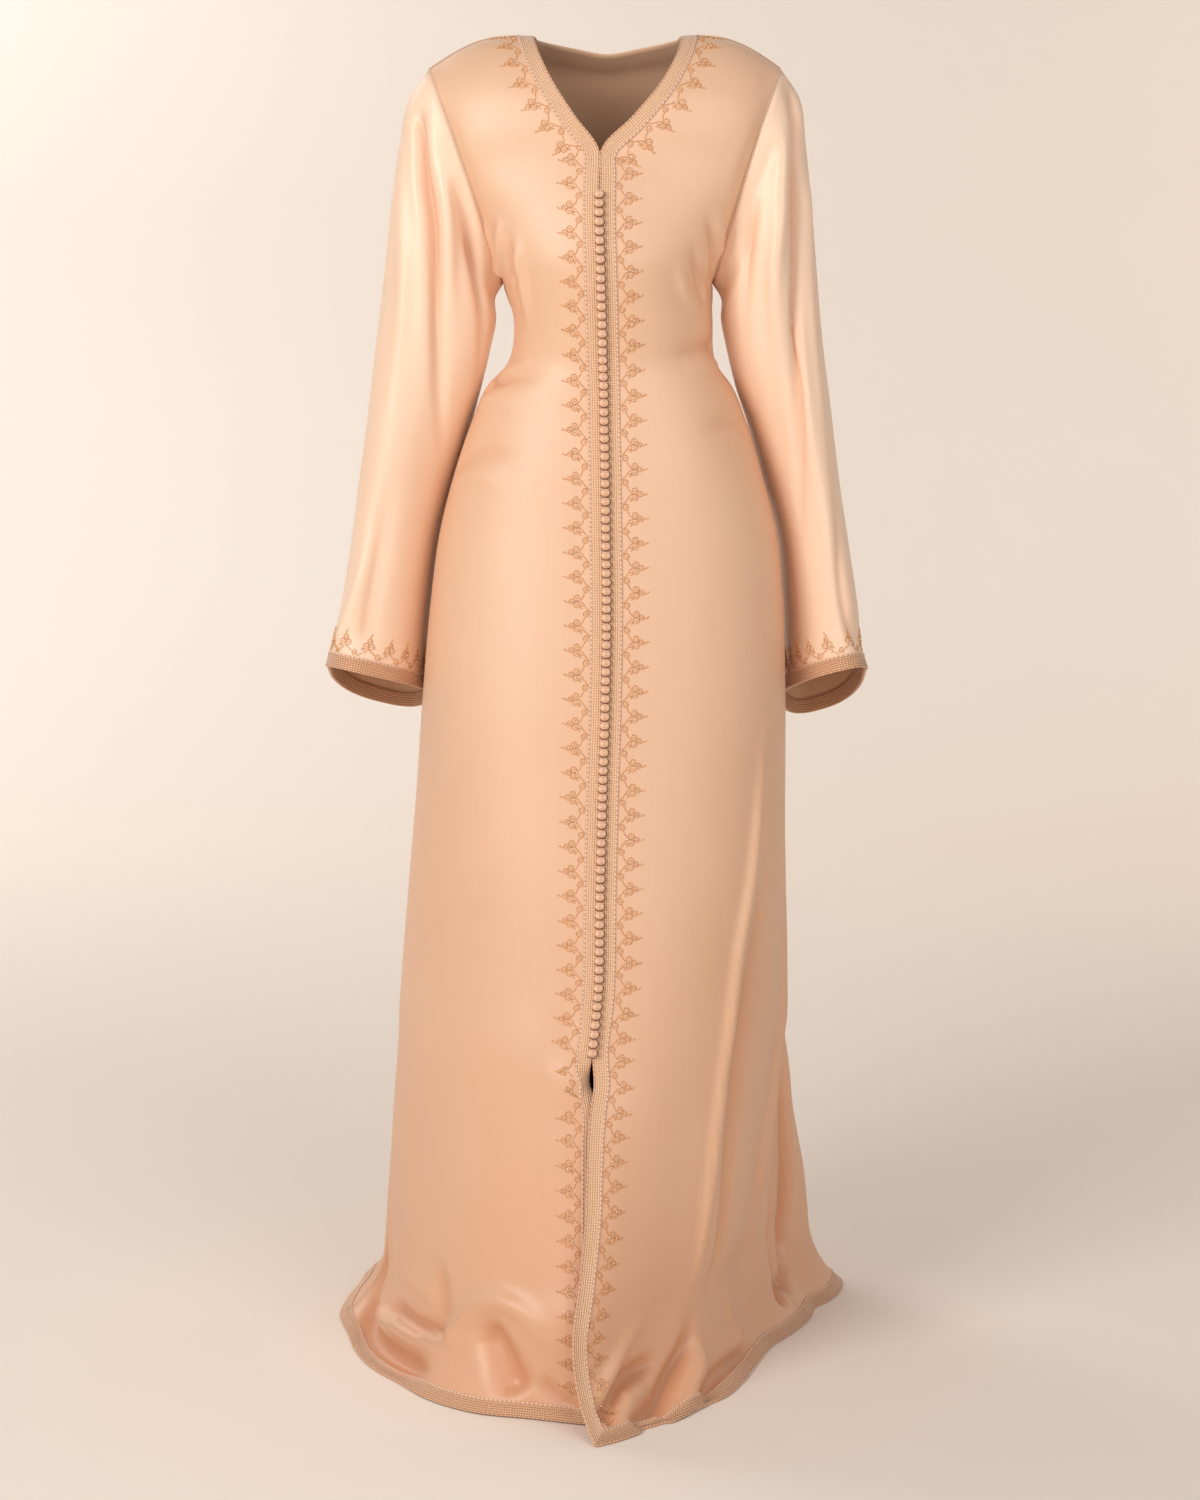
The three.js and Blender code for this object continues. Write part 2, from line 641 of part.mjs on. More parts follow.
// The armhole seam as the panels and the sleeve see it: the row and column of the panel's point and
// the sleeve's point, from the underarm up the front and from the underarm up the back.
function armholeSeam(side) {
  const steps = 180 / ARMHOLE_STEP;
  const backColumn = side === 'right' ? 0 : grids.back[0].length - 1;
  const seam = [];
  for (let i = 0; i <= steps; i += 1) {
    const row = UNDERARM_ROW + i;
    seam.push({ panel: side, row, column: FRONT_COLUMNS, ring: steps - i });
    seam.push({ panel: 'back', row, column: backColumn, ring: (steps + i) % (2 * steps) });
  }
  return seam;
}

// The way into a sheet at a point of its edge, square to the seam.
function inwards(node, along, towards) {
  const way = along.clone().cross(node.normal).normalize();
  return way.dot(towards.clone().sub(node.place)) > 0 ? way : way.negate();
}

// Panels and sleeve each stop short of the armhole seam, further where they meet in a sharp fold.
function openArmhole(side) {
  const arm = arms[side];
  const count = arm[0].length;
  const drawn = arm[0].map((node) => ({ place: node.place.clone(), normal: node.normal }));
  const shifts = armholeSeam(side).map((at) => {
    const node = body[at.panel][at.row][at.column];
    const inner = body[at.panel][at.row - 1][at.column === 0 ? 1 : at.column - 1].place;
    const before = arm[0][(at.ring + count - 1) % count].place;
    const along = arm[0][(at.ring + 1) % count].place.clone().sub(before);
    const intoPanel = inwards(node, along, inner);
    const intoSleeve = inwards(arm[0][at.ring], along, arm[1][at.ring].place);
    const half = intoPanel.angleTo(intoSleeve) / 2;
    const inset = SEAM + (HALF + SEAM) / Math.tan(half);
    return { ...at, node, intoPanel, intoSleeve, inset };
  });
  for (const shift of shifts) {
    shift.node.place.addScaledVector(shift.intoPanel, shift.inset);
    drawn[shift.ring].place.copy(arm[0][shift.ring].place).addScaledVector(shift.intoSleeve, shift.inset);
  }
  arms[side] = [drawn, ...arm.slice(1)];
}
for (const side of ['right', 'left']) openArmhole(side);

const sideSeams = (grid, edges) => {
  const below = drawIn(grid.slice(0, UNDERARM_ROW), edges);
  const above = drawIn(grid.slice(UNDERARM_ROW), { first: edges.upper ?? 0, top: SEAM });
  return [...below, ...above];
};
const panels = {
  right: sideSeams(body.right, { first: SEAM, last: SEAM, upper: SEAM }),
  left: sideSeams(body.left, { first: SEAM, last: SEAM, upper: SEAM }),
  back: sideSeams(body.back, { first: SEAM, last: SEAM }),
};

addPiece('front_right', wall(panels.right, -HALF, HALF, false), satin);
addPiece('front_left', wall(panels.left, -HALF, HALF, false), satin);
addPiece('back', wall(panels.back, -HALF, HALF, false), satin);

// ---------------------------------------------------------------- sleeves
for (const side of ['right', 'left']) {
  const panel = arms[side];
  const cuff = panel.slice(-2);
  addPiece(`sleeve_${side}`, wall(panel, -HALF, HALF, true), satin);
  addPiece(`cuff_trim_${side}`, wall(cuff, BRAID_UNDER, BRAID_OVER, true), braidCord);
  addPiece(`cuff_facing_${side}`, wall(cuff, -BRAID_UNDER - FACING_THICK, -BRAID_UNDER, true), satinBack);
}

// ---------------------------------------------------------------- braid
// Down each front edge and round its half of the neck, round the back of the neck, and along the hem.
for (const side of ['right', 'left']) {
  const strip = drawIn(panels[side].slice(1).map((row) => row.slice(0, 2)), { bottom: SEAM });
  addPiece(`front_trim_${side}`, wall(strip, BRAID_UNDER, BRAID_OVER, false), braidCord);
}
const neckColumns = [FRONT_COLUMNS - 1, grids.back[0].length - FRONT_COLUMNS + 1];
const neckStrip = panels.back.slice(-2).map((row) => row.slice(...neckColumns));
addPiece('neck_trim_back', wall(neckStrip, BRAID_UNDER, BRAID_OVER, false), braidCord);
for (const panel of ['right', 'left', 'back']) {
  const strip = drawIn(panels[panel].slice(0, 2), { top: SEAM });
  addPiece(`hem_trim_${panel}`, wall(strip, BRAID_UNDER, BRAID_OVER, false), braidCord);
}

// ---------------------------------------------------------------- knots
// Passementerie knots in a close row over the meeting of the two fronts, eight to a length of cord.
const closure = panels.right.map((row, i) => {
  const one = row[0];
  const other = panels.left[i][0];
  return {
    place: one.place.clone().lerp(other.place, 0.5),
    normal: one.normal.clone().add(other.normal).normalize(),
  };
});

function closureAt(z) {
  const above = closure.findIndex((node) => node.place.z >= z);
  const low = closure[above - 1];
  const high = closure[above];
  const share = (z - low.place.z) / (high.place.z - low.place.z);
  return {
    place: low.place.clone().lerp(high.place, share),
    normal: low.normal.clone().lerp(high.normal, share).normalize(),
    up: high.place.clone().sub(low.place).normalize(),
  };
}

function knotGroup(group) {
  const groupHeight = KNOT.pitch * KNOT.perGroup;
  const bottom = KNOT.bottom + group * groupHeight + GAP;
  const rings = [{ z: bottom, radius: KNOT.neck }];
  for (let i = 0; i < KNOT.perGroup; i += 1) {
    const middle = bottom + (i + 0.5) * KNOT.pitch;
    rings.push({ z: middle - KNOT.belly * KNOT.pitch, radius: KNOT.radius });
    rings.push({ z: middle + KNOT.belly * KNOT.pitch, radius: KNOT.radius });
    rings.push({ z: bottom + (i + 1) * KNOT.pitch, radius: KNOT.neck });
  }
  rings[rings.length - 1].z -= 2 * GAP;
  const positions = [];
  for (const ring of rings) {
    const seat = closureAt(ring.z);
    const across = seat.up.clone().cross(seat.normal).normalize();
    const centre = seat.place.clone().addScaledVector(seat.normal, BRAID_OVER + GAP + ring.radius);
    for (let k = 0; k < KNOT.sides; k += 1) {
      const angle = ((k + 0.5) * 2 * Math.PI) / KNOT.sides;
      const rim = centre.clone()
        .addScaledVector(across, ring.radius * Math.cos(angle))
        .addScaledVector(seat.normal, ring.radius * Math.sin(angle));
      positions.push(...rim.toArray());
    }
  }
  const index = [];
  const at = (i, k) => i * KNOT.sides + (k % KNOT.sides);
  for (let i = 0; i < rings.length - 1; i += 1) {
    for (let k = 0; k < KNOT.sides; k += 1) {
      index.push(at(i, k), at(i, k + 1), at(i + 1, k + 1), at(i, k), at(i + 1, k + 1), at(i + 1, k));
    }
  }
  for (let k = 1; k < KNOT.sides - 1; k += 1) {
    index.push(at(0, 0), at(0, k + 1), at(0, k));
    index.push(at(rings.length - 1, 0), at(rings.length - 1, k), at(rings.length - 1, k + 1));
  }
  return solid(positions, index);
}
for (let group = 0; group < KNOT.groups; group += 1) {
  addPiece(`knots_${String(group + 1).padStart(2, '0')}`, knotGroup(group), knotCord);
}

export default kaftan;
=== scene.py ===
import math
import random

import bmesh
import bpy
import numpy as np
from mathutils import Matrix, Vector
from mathutils.bvhtree import BVHTree


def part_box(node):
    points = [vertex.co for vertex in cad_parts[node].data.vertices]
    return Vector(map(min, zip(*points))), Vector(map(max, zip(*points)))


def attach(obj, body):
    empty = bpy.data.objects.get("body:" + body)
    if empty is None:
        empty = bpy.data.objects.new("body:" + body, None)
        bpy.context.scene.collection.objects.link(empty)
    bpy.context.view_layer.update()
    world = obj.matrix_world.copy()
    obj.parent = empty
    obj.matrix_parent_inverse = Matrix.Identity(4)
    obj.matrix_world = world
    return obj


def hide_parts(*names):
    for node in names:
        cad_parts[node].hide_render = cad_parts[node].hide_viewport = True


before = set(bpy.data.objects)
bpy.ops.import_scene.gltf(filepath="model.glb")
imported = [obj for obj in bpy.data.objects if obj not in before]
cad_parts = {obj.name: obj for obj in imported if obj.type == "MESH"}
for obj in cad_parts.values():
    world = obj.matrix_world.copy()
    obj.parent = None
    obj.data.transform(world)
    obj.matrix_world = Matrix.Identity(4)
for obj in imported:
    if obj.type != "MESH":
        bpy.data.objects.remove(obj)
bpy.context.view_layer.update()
MM = 0.001

# ------------------------------------------------------------------ the satin panels
# Two fronts and a back of heavy satin, cut flared and sewn together at the sides and the shoulders.
# Each is one thin sheet over the form the robe keeps when it is worn, and its creases are pressed in
# one by one: drag lines at bust, waist and armholes, and the soft heap where the skirt meets the floor.
WELD = 0.02 * MM
RIM_EDGE = 2.5 * MM
CLOTH_THICK = 1.0 * MM
UNDERARM_ROW = 23


def cloth_rows(name, corner, along, closed=False):
    """The points of the outer side of a node's wall: rows by columns, from the given corner, with the
    first row running along the given direction. A closed wall is a tube and its rows are rings."""
    made = bmesh.new()
    made.from_mesh(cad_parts[name].data)
    bmesh.ops.remove_doubles(made, verts=made.verts, dist=WELD)
    rim = [face for face in made.faces if min(edge.calc_length() for edge in face.edges) < RIM_EDGE]
    bmesh.ops.delete(made, geom=rim, context="FACES")
    middle = sum((vert.co for vert in made.verts), Vector()) / len(made.verts) if closed else Vector()

    def facing(face):
        away = face.calc_center_median() - middle
        if not closed:
            away.z = 0
        return face.calc_area() * face.normal.dot(away)

    left = set(made.faces)
    islands = []
    while left:
        waiting = [left.pop()]
        island = []
        while waiting:
            face = waiting.pop()
            island.append(face)
            near = {other for edge in face.edges for other in edge.link_faces} & left
            left -= near
            waiting.extend(near)
        islands.append(island)
    outer = max(islands, key=lambda island: sum(facing(face) for face in island))
    inner = [face for island in islands if island is not outer for face in island]
    bmesh.ops.delete(made, geom=inner, context="FACES")

    def at_corner(vert):
        return vert.is_boundary and (closed or len(vert.link_faces) == 2)

    start = min((vert for vert in made.verts if at_corner(vert)), key=lambda vert: (vert.co - corner).length)
    ahead = [edge.other_vert(start) for edge in start.link_edges if edge.is_boundary]
    second = max(ahead, key=lambda vert: (vert.co - start.co).normalized().dot(along))
    row = [start, second]
    while len(row[-1].link_faces) > 1:
        onward = [e.other_vert(row[-1]) for e in row[-1].link_edges if e.is_boundary]
        step = next(vert for vert in onward if vert is not row[-2])
        if step is start:
            break
        row.append(step)

    used = set()

    def third(one, other):
        """The far corner of the one triangle on an edge that the walk hasn't passed."""
        edge = made.edges.get((one, other))
        fresh = [face for face in edge.link_faces if face not in used]
        if not fresh:
            return None
        used.add(fresh[0])
        return next(vert for vert in fresh[0].verts if vert not in (one, other))

    rows = [row]
    while True:
        last = rows[-1]
        pairs = list(zip(last, last[1:] + last[:1])) if closed else list(zip(last, last[1:]))
        above = [third(one, other) for one, other in pairs]
        if above[0] is None:
            break
        if closed:
            above = above[-1:] + above[:-1]
            for one, other in zip(last, above[1:] + above[:1]):
                third(one, other)
        else:
            above.insert(0, third(last[0], above[0]))
            for one, other in zip(last[1:], above[2:]):
                third(one, other)
        rows.append(above)
    return np.array([[vert.co[:] for vert in row] for row in rows])


def smooth(points, before, after, steps):
    """A smooth curve through each row of points, with so many new points to each span. Before and
    after are the points that the curve would meet beyond its two ends."""
    whole = np.concatenate([before[:, None], points, after[:, None]], axis=1)
    chord = np.linalg.norm(np.diff(whole, axis=1), axis=2, keepdims=True)
    slope = np.diff(whole, axis=1) / chord
    near, far = chord[:, :-1], chord[:, 1:]
    tangent = (far * slope[:, :-1] + near * slope[:, 1:]) / (near + far)
    made = []
    for span, count in enumerate(steps):
        length = chord[:, span + 1]
        for t in np.arange(count) / count:
            made.append(
                (2 * t**3 - 3 * t**2 + 1) * points[:, span]
                + (t**3 - 2 * t**2 + t) * length * tangent[:, span]
                + (3 * t**2 - 2 * t**3) * points[:, span + 1]
                + (t**3 - t**2) * length * tangent[:, span + 1]
            )
    made.append(points[:, -1])
    return np.stack(made, axis=1)


def straight_on(edge, inside):
    return 2 * edge - inside


def spans(rows, step):
    """How many steps of about a given size fit between each two rows."""
    gaps = np.linalg.norm(np.diff(rows, axis=0), axis=2).mean(axis=1)
    return [max(2, round(gap / step)) for gap in gaps]


def normals_of(places, closed=False):
    """The outward unit normals of a sheet of points."""
    across = np.gradient(places, axis=1)
    if closed:
        across[:, 0] = across[:, -1] = (places[:, 1] - places[:, -2]) / 2
    normal = np.cross(across, np.gradient(places, axis=0))
    normal /= np.linalg.norm(normal, axis=2, keepdims=True)
    middle = places.mean(axis=(0, 1)) if closed else np.zeros(3)
    away = (places - middle) * (1, 1, 1 if closed else 0)
    return normal if (normal * away).sum() > 0 else -normal


def ease(value):
    value = np.clip(value, 0, 1)
    return value * value * (3 - 2 * value)


def pressed(places, creases, closed=False):
    """A sheet with creases pressed into it, and how far each point moved out or in. A crease is a list of
    points in millimetres, a half-width, a depth or height, and the shares of its length over which it
    fades in and out. A tube's first ring, which is sewn down, keeps its place."""
    normal = normals_of(places, closed)
    push = np.zeros(places.shape[:2])
    flat = places.reshape(-1, 3)
    for points, width, depth, fade_in, fade_out in creases:
        line = np.array(points, float) * MM
        seated = [flat[np.argmin(((flat - point) ** 2).sum(axis=1))] for point in line]
        line = np.array(seated)[None]
        ends = (straight_on(line[:, 0], line[:, 1]), straight_on(line[:, -1], line[:, -2]))
        line = smooth(line, *ends, [4] * (len(points) - 1))[0]
        best = np.full(len(flat), np.inf)
        where = np.zeros(len(flat))
        for k, (a, b) in enumerate(zip(line, line[1:])):
            t = np.clip(((flat - a) @ (b - a)) / ((b - a) @ (b - a)), 0, 1)
            distance = np.linalg.norm(flat - a - t[:, None] * (b - a), axis=1)
            closer = distance < best
            best = np.where(closer, distance, best)
            where = np.where(closer, (k + t) / (len(line) - 1), where)
        strength = ease(where / max(fade_in, 0.01)) * ease((1 - where) / max(fade_out, 0.01))
        push += (depth * MM * strength * np.exp(-((best / (width * MM)) ** 2))).reshape(push.shape)
    if closed:
        push *= ease(np.arange(len(places)) / 6)[:, None]
    return places + normal * push[..., None], push


HEM_LEVEL = -1438.8 * MM
HEM_REACH = 70 * MM


def grounded(places, before):
    """Creases slide the hem along the floor but never lift it or push it through."""
    rise = before[0, :, 2] - places[0, :, 2]
    height = before[..., 2] - before[0, :, 2]
    places = places.copy()
    places[..., 2] += rise * (1 - ease(height / HEM_REACH))
    places[..., 2] = np.maximum(places[..., 2], HEM_LEVEL)
    return places


def sewn(one, other):
    """Draws two edges of a seam together, each halfway, level by level."""
    meeting = []
    for own, far in ((one, other), (other, one)):
        across = [np.interp(own[:, 2], far[:, 2], far[:, k]) for k in range(3)]
        meeting.append((own + np.stack(across, axis=1)) / 2)
    one[:], other[:] = meeting


RIGHT_CREASES = [
    ([(-133, -57, -183), (-124, -50, -214), (-113, -35, -246)], 4.2, 4.3, 0.3, 0.2),
    ([(-113, -80, -187), (-114, -68, -215), (-114, -30, -249)], 6, 6.5, 0.4, 0.1),
    ([(-97, -89, -200), (-95, -84, -233), (-88, -74, -275), (-90, -58, -309)], 6.8, 6.5, 0.4, 0.4),
    ([(-105, -84, -200), (-104, -74, -233), (-102, -52, -262)], 5.1, -5.4, 0.4, 0.3),
    ([(-132, -5, -366), (-122, -30, -361), (-100, -63, -355), (-62, -92, -357)], 6, -7.6, 0.05, 0.6),
    ([(-128, -20, -350), (-104, -57, -340), (-76, -86, -338)], 6.8, 4.3, 0.2, 0.6),
    ([(-140, -14, -386), (-112, -60, -380), (-80, -92, -384)], 7.6, 4.3, 0.2, 0.6),
    ([(-162, -15, -452), (-127, -72, -434), (-86, -97, -433)], 7.6, -4.8, 0.2, 0.6),
    ([(-168, -10, -470), (-135, -70, -462), (-100, -98, -470)], 8.5, 3.5, 0.2, 0.6),
    ([(-248, -42, -1394), (-228, -99, -1387), (-206, -140, -1380), (-182, -179, -1375),
      (-172, -196, -1370)], 8, -12, 0.2, 0.3),
    ([(-236, -60, -1340), (-205, -135, -1340), (-178, -170, -1340)], 14, 5, 0.3, 0.3),
    ([(-250, -20, -1396), (-249, -62, -1404), (-232, -106, -1400), (-211, -140, -1395),
      (-190, -176, -1391), (-172, -204, -1389)], 8.5, 12, 0.15, 0.2),
    ([(-250, 45, -1200), (-257, 46, -1290), (-265, 46, -1350), (-274, 30, -1404), (-278, -12, -1424),
      (-264, -68, -1427), (-238, -124, -1426), (-208, -170, -1424), (-180, -206, -1418)],
     13, -20, 0.3, 0.2),
    ([(-256, 44, -1262), (-262, 46, -1330), (-266, 40, -1384)], 9, -10, 0.3, 0.3),
    ([(-240, 10, -1230), (-246, 20, -1300), (-250, 0, -1360), (-249, -50, -1400)], 9, 3.5, 0.5, 0.1),
    ([(-168, -208, -1389), (-165, -203, -1372), (-153, -209, -1351), (-137, -223, -1332),
      (-115, -240, -1323), (-88, -259, -1330), (-67, -272, -1353), (-55, -275, -1380)], 10, 12, 0.15, 0.45),
    ([(-136, -228, -1348), (-122, -242, -1368), (-106, -255, -1392), (-92, -263, -1418)],
     16, -17, 0.25, 0.15),
    ([(-186, -150, -1290), (-180, -172, -1340), (-177, -186, -1368)], 15, -6, 0.4, 0.2),
    ([(-72, -270, -1392), (-64, -272, -1401), (-45, -280, -1416), (-30, -286, -1422)], 8, -7, 0.3, 0.1),
]
LEFT_CREASES = [
    ([(102, -84, -184), (111, -73, -203), (112, -58, -228), (112, -24, -262)], 5.1, -6, 0.4, 0.1),
    ([(112, -78, -180), (122, -62, -203), (120, -40, -236)], 5.1, 3.8, 0.4, 0.2),
    ([(86, -90, -212), (94, -74, -243), (106, -41, -272)], 6, -4.8, 0.4, 0.2),
    ([(70, -97, -235), (84, -84, -262), (98, -56, -290)], 7.6, 4.3, 0.4, 0.3),
    ([(114, -10, -322), (104, -45, -323), (80, -78, -327), (52, -96, -332)], 6.8, -5.6, 0.05, 0.6),
    ([(118, -12, -342), (100, -58, -345), (72, -86, -350)], 7.6, 3.8, 0.1, 0.6),
    ([(150, -20, -410), (124, -66, -404), (92, -92, -408)], 8.5, -3.8, 0.2, 0.6),
    ([(173, -72, -691), (163, -95, -797), (153, -115, -892), (142, -134, -963), (129, -157, -1059),
      (114, -181, -1162), (102, -191, -1270), (90, -194, -1367)], 7, 7.5, 0.25, 0.2),
    ([(177, -72, -800), (169, -93, -896), (159, -113, -967), (147, -140, -1063), (135, -155, -1170),
      (124, -154, -1282), (108, -162, -1369)], 12, -9, 0.4, 0.2),
    ([(-3, -322, -1421), (4, -297, -1404), (23, -268, -1394), (44, -245, -1388), (64, -225, -1383)],
     9, -16.5, 0.05, 0.4),
    ([(-12, -318, -1410), (-5, -305, -1402), (4, -281, -1380), (25, -254, -1350), (50, -226, -1325)],
     8.1, 8.9, 0.2, 0.5),
    ([(30, -312, -1436), (41, -283, -1426), (68, -238, -1407), (88, -200, -1378), (98, -190, -1340)],
     9.9, -17.6, 0.05, 0.4),
    ([(60, -290, -1438), (84, -250, -1425), (106, -205, -1402), (112, -185, -1370)], 9, 8.9, 0.05, 0.4),
    ([(98, -238, -1432), (115, -199, -1418), (139, -147, -1420), (166, -75, -1428)], 9, -14.3, 0.1, 0.2),
    ([(165, -105, -1405), (152, -108, -1385), (147, -96, -1340)], 9, 7.7, 0.1, 0.5),
    ([(188, -12, -820), (190, -14, -960), (188, -18, -1100), (184, -26, -1240), (182, -34, -1330)],
     9.8, 9, 0.5, 0.3),
    ([(200, 58, -1000), (205, 74, -1140), (209, 106, -1291), (205, 92, -1384), (198, 20, -1418)],
     9, -20, 0.3, 0.1),
]
BACK_CREASES = [
    ([(-150, 62, -150), (-128, 80, -185), (-108, 84, -235)], 6.8, 5.2, 0.3, 0.3),
    ([(-138, 66, -175), (-116, 78, -205), (-106, 70, -245)], 6, -5.2, 0.3, 0.2),
    ([(148, 62, -150), (127, 80, -180), (110, 86, -230)], 6.8, 4.8, 0.3, 0.3),
    ([(136, 66, -180), (118, 76, -212), (108, 68, -248)], 6, -5.6, 0.3, 0.2),
    ([(-118, 45, -345), (-88, 74, -352), (-40, 86, -350)], 6.8, -7, 0.05, 0.6),
    ([(120, 48, -338), (92, 74, -346), (50, 86, -352)], 6.8, -6, 0.05, 0.6),
    ([(-128, 45, -372), (-92, 78, -378), (-52, 88, -384)], 7.6, 4.3, 0.1, 0.6),
    ([(130, 46, -368), (96, 78, -376), (60, 89, -380)], 7.6, 4.8, 0.1, 0.6),
    ([(-40, 84, -300), (-10, 88, -322), (30, 88, -318)], 10.2, -4.3, 0.5, 0.5),
    ([(-160, 60, -440), (-110, 92, -452), (-60, 106, -470)], 9.3, -4.8, 0.1, 0.6),
    ([(160, 62, -430), (118, 90, -446), (66, 106, -462)], 9.3, -4.3, 0.1, 0.6),
    ([(-120, 285, -1436), (-112, 268, -1410), (-100, 250, -1360), (-96, 235, -1290)], 12, -9.5, 0.05, 0.6),
    ([(20, 318, -1438), (22, 300, -1412), (30, 282, -1362), (34, 266, -1290)], 12, -10.8, 0.05, 0.6),
    ([(150, 280, -1436), (148, 262, -1408), (140, 245, -1356)], 11, 8.1, 0.05, 0.6),
    ([(-220, 230, -1436), (-214, 215, -1406), (-204, 200, -1350)], 11, 8.1, 0.05, 0.6),
    ([(200, 58, -1000), (205, 74, -1140), (209, 106, -1291), (205, 92, -1384), (198, 20, -1418)],
     9, -20, 0.3, 0.1),
    ([(200, 100, -960), (208, 104, -1120), (220, 108, -1260), (232, 112, -1360)], 14, 6, 0.6, 0.3),
]
FRONT_STEPS = [8] * 9
BACK_STEPS = [5] * 26
ROW_STEP = 6.5 * MM
HEM_CORNERS = {
    "right": (Vector((-38, -291, -1440)) * MM, Vector((-1, 0.4, 0))),
    "left": (Vector((-18, -361, -1440)) * MM, Vector((1, 0.4, 0))),
    "back": (Vector((-310, 60, -1440)) * MM, Vector((0, 1, 0))),
}
NODES = {"right": "front_right", "left": "front_left", "back": "back"}
coarse = {side: cloth_rows(NODES[side], *HEM_CORNERS[side]) for side in NODES}


def neighbour(own, inside, other):
    """The column beyond a side seam: the next panel's second below the underarm, and straight on above."""
    beyond = straight_on(own, inside)
    beyond[:UNDERARM_ROW] = other[:UNDERARM_ROW]
    return beyond


def fine(rows, before, after, steps, row_steps):
    """A coarse sheet made smooth, first along its rows and then along its columns."""
    tall = np.swapaxes(smooth(rows, before, after, steps), 0, 1)
    ends = (straight_on(tall[:, 0], tall[:, 1]), straight_on(tall[:, -1], tall[:, -2]))
    return np.swapaxes(smooth(tall, *ends, row_steps), 0, 1)


back = coarse["back"]
sheets = {}
for side, column in (("right", 1), ("left", -2)):
    rows = coarse[side]
    opening = straight_on(rows[:, 0], rows[:, 1])
    seam = neighbour(rows[:, -1], rows[:, -2], back[:, column])
    sheets[side] = fine(rows, opening, seam, FRONT_STEPS, spans(rows, ROW_STEP))
right_seam = neighbour(back[:, 0], back[:, 1], coarse["right"][:, -2])
left_seam = neighbour(back[:, -1], back[:, -2], coarse["left"][:, -2])
sheets["back"] = fine(back, right_seam, left_seam, BACK_STEPS, spans(back, ROW_STEP))
rises = {side: sum(spans(coarse[side], ROW_STEP)[:UNDERARM_ROW]) for side in sheets}
hollows = {}
for side, creases in (("right", RIGHT_CREASES), ("left", LEFT_CREASES), ("back", BACK_CREASES)):
    creased, hollows[side] = pressed(sheets[side], creases)
    sheets[side] = grounded(creased, sheets[side])
for side, column in (("right", 0), ("left", -1)):
    sewn(sheets[side][:rises[side], -1], sheets["back"][:rises["back"], column])


def laid(name, places, size, closed=False, push=None):
    """A sheet of quads moved to the given places, rows by columns, with a UV map in metres. How far each
    point was pressed, in millimetres, is kept as an attribute."""
    rows, columns = places.shape[:2]
    made = bmesh.new()
    made.loops.layers.uv.new("UVMap")
    bmesh.ops.create_grid(made, x_segments=columns - 1, y_segments=rows - 1, size=0.5, calc_uvs=True)
    for vert, place in zip(made.verts, places.reshape(-1, 3)):
        vert.co = place
    if push is not None:
        pressing = made.verts.layers.float.new("pressing")
        for vert, value in zip(made.verts, push.ravel()):
            vert[pressing] = value / MM
    made.normal_update()
    middle = Vector(places.reshape(-1, 3).mean(axis=0)) if closed else Vector()
    flat = Vector((1, 1, 1 if closed else 0))
    facing = sum(f.calc_area() * f.normal.dot((f.calc_center_median() - middle) * flat) for f in made.faces)
    if facing < 0:
        bmesh.ops.reverse_faces(made, faces=made.faces)
    if closed:
        bmesh.ops.remove_doubles(made, verts=made.verts, dist=WELD)
    mesh = bpy.data.meshes.new(name)
    made.to_mesh(mesh)
    made.free()
    coords = np.zeros(len(mesh.loops) * 2)
    mesh.uv_layers[0].uv.foreach_get("vector", coords)
    mesh.uv_layers[0].uv.foreach_set("vector", (coords.reshape(-1, 2) * size).ravel())
    mesh.shade_smooth()
    piece = bpy.data.objects.new(name, mesh)
    bpy.context.scene.collection.objects.link(piece)
    return piece


def wall(piece, thick, inside=None):
    """Gives a sheet its thickness, inwards from the side that shows."""
    solid = piece.modifiers.new("thickness", "SOLIDIFY")
    solid.thickness = thick
    solid.offset = -1
    if inside is not None:
        piece.data.materials.append(inside)
        solid.material_offset = 1
    return piece


def node(tree, kind, inputs=None, **settings):
    """A shader node with its settings. Each input takes a value or another node's output."""
    made = tree.nodes.new(kind)
    for key, value in settings.items():
        setattr(made, key, value)
    for socket, value in (inputs or {}).items():
        if isinstance(value, bpy.types.NodeSocket):
            tree.links.new(value, made.inputs[socket])
        else:
            made.inputs[socket].default_value = value
    return made


def finish_of(name, roughness, **sockets):
    """A new material, its node tree and its shader, with the sockets that are the same all over."""
    material = bpy.data.materials.new(name)
    material.use_nodes = True
    shader = material.node_tree.nodes["Principled BSDF"]
    shader.inputs["Roughness"].default_value = roughness
    for socket, value in sockets.items():
        shader.inputs[socket.replace("_", " ")].default_value = value
    return material, material.node_tree, shader


def blend_of(tree, factor, one, two):
    """The colour between two colours or outputs at a factor."""
    made = node(tree, "ShaderNodeMix", data_type="RGBA")
    for socket, value in ((made.inputs[0], factor), (made.inputs[6], one), (made.inputs[7], two)):
        if isinstance(value, bpy.types.NodeSocket):
            tree.links.new(value, socket)
        else:
            socket.default_value = value
    return made.outputs[2]


def noise(tree, vector, scale, detail):
    return node(tree, "ShaderNodeTexNoise", {"Vector": vector, "Scale": scale, "Detail": detail}).outputs["Fac"]


def grain_of(tree, scale, detail):
    """Noise that stays with the cloth, at a scale for each metre."""
    return noise(tree, node(tree, "ShaderNodeTexCoord").outputs["Object"], scale, detail)


def ramp_of(tree, level, low, one, high, other):
    """The colour of a level: the first up to the low mark, the other from the high mark on."""
    ramp = node(tree, "ShaderNodeValToRGB", {"Fac": level})
    for element, position, colour in zip(ramp.color_ramp.elements, (low, high), (one, other)):
        element.position = position
        element.color = colour
    return ramp.outputs["Color"]


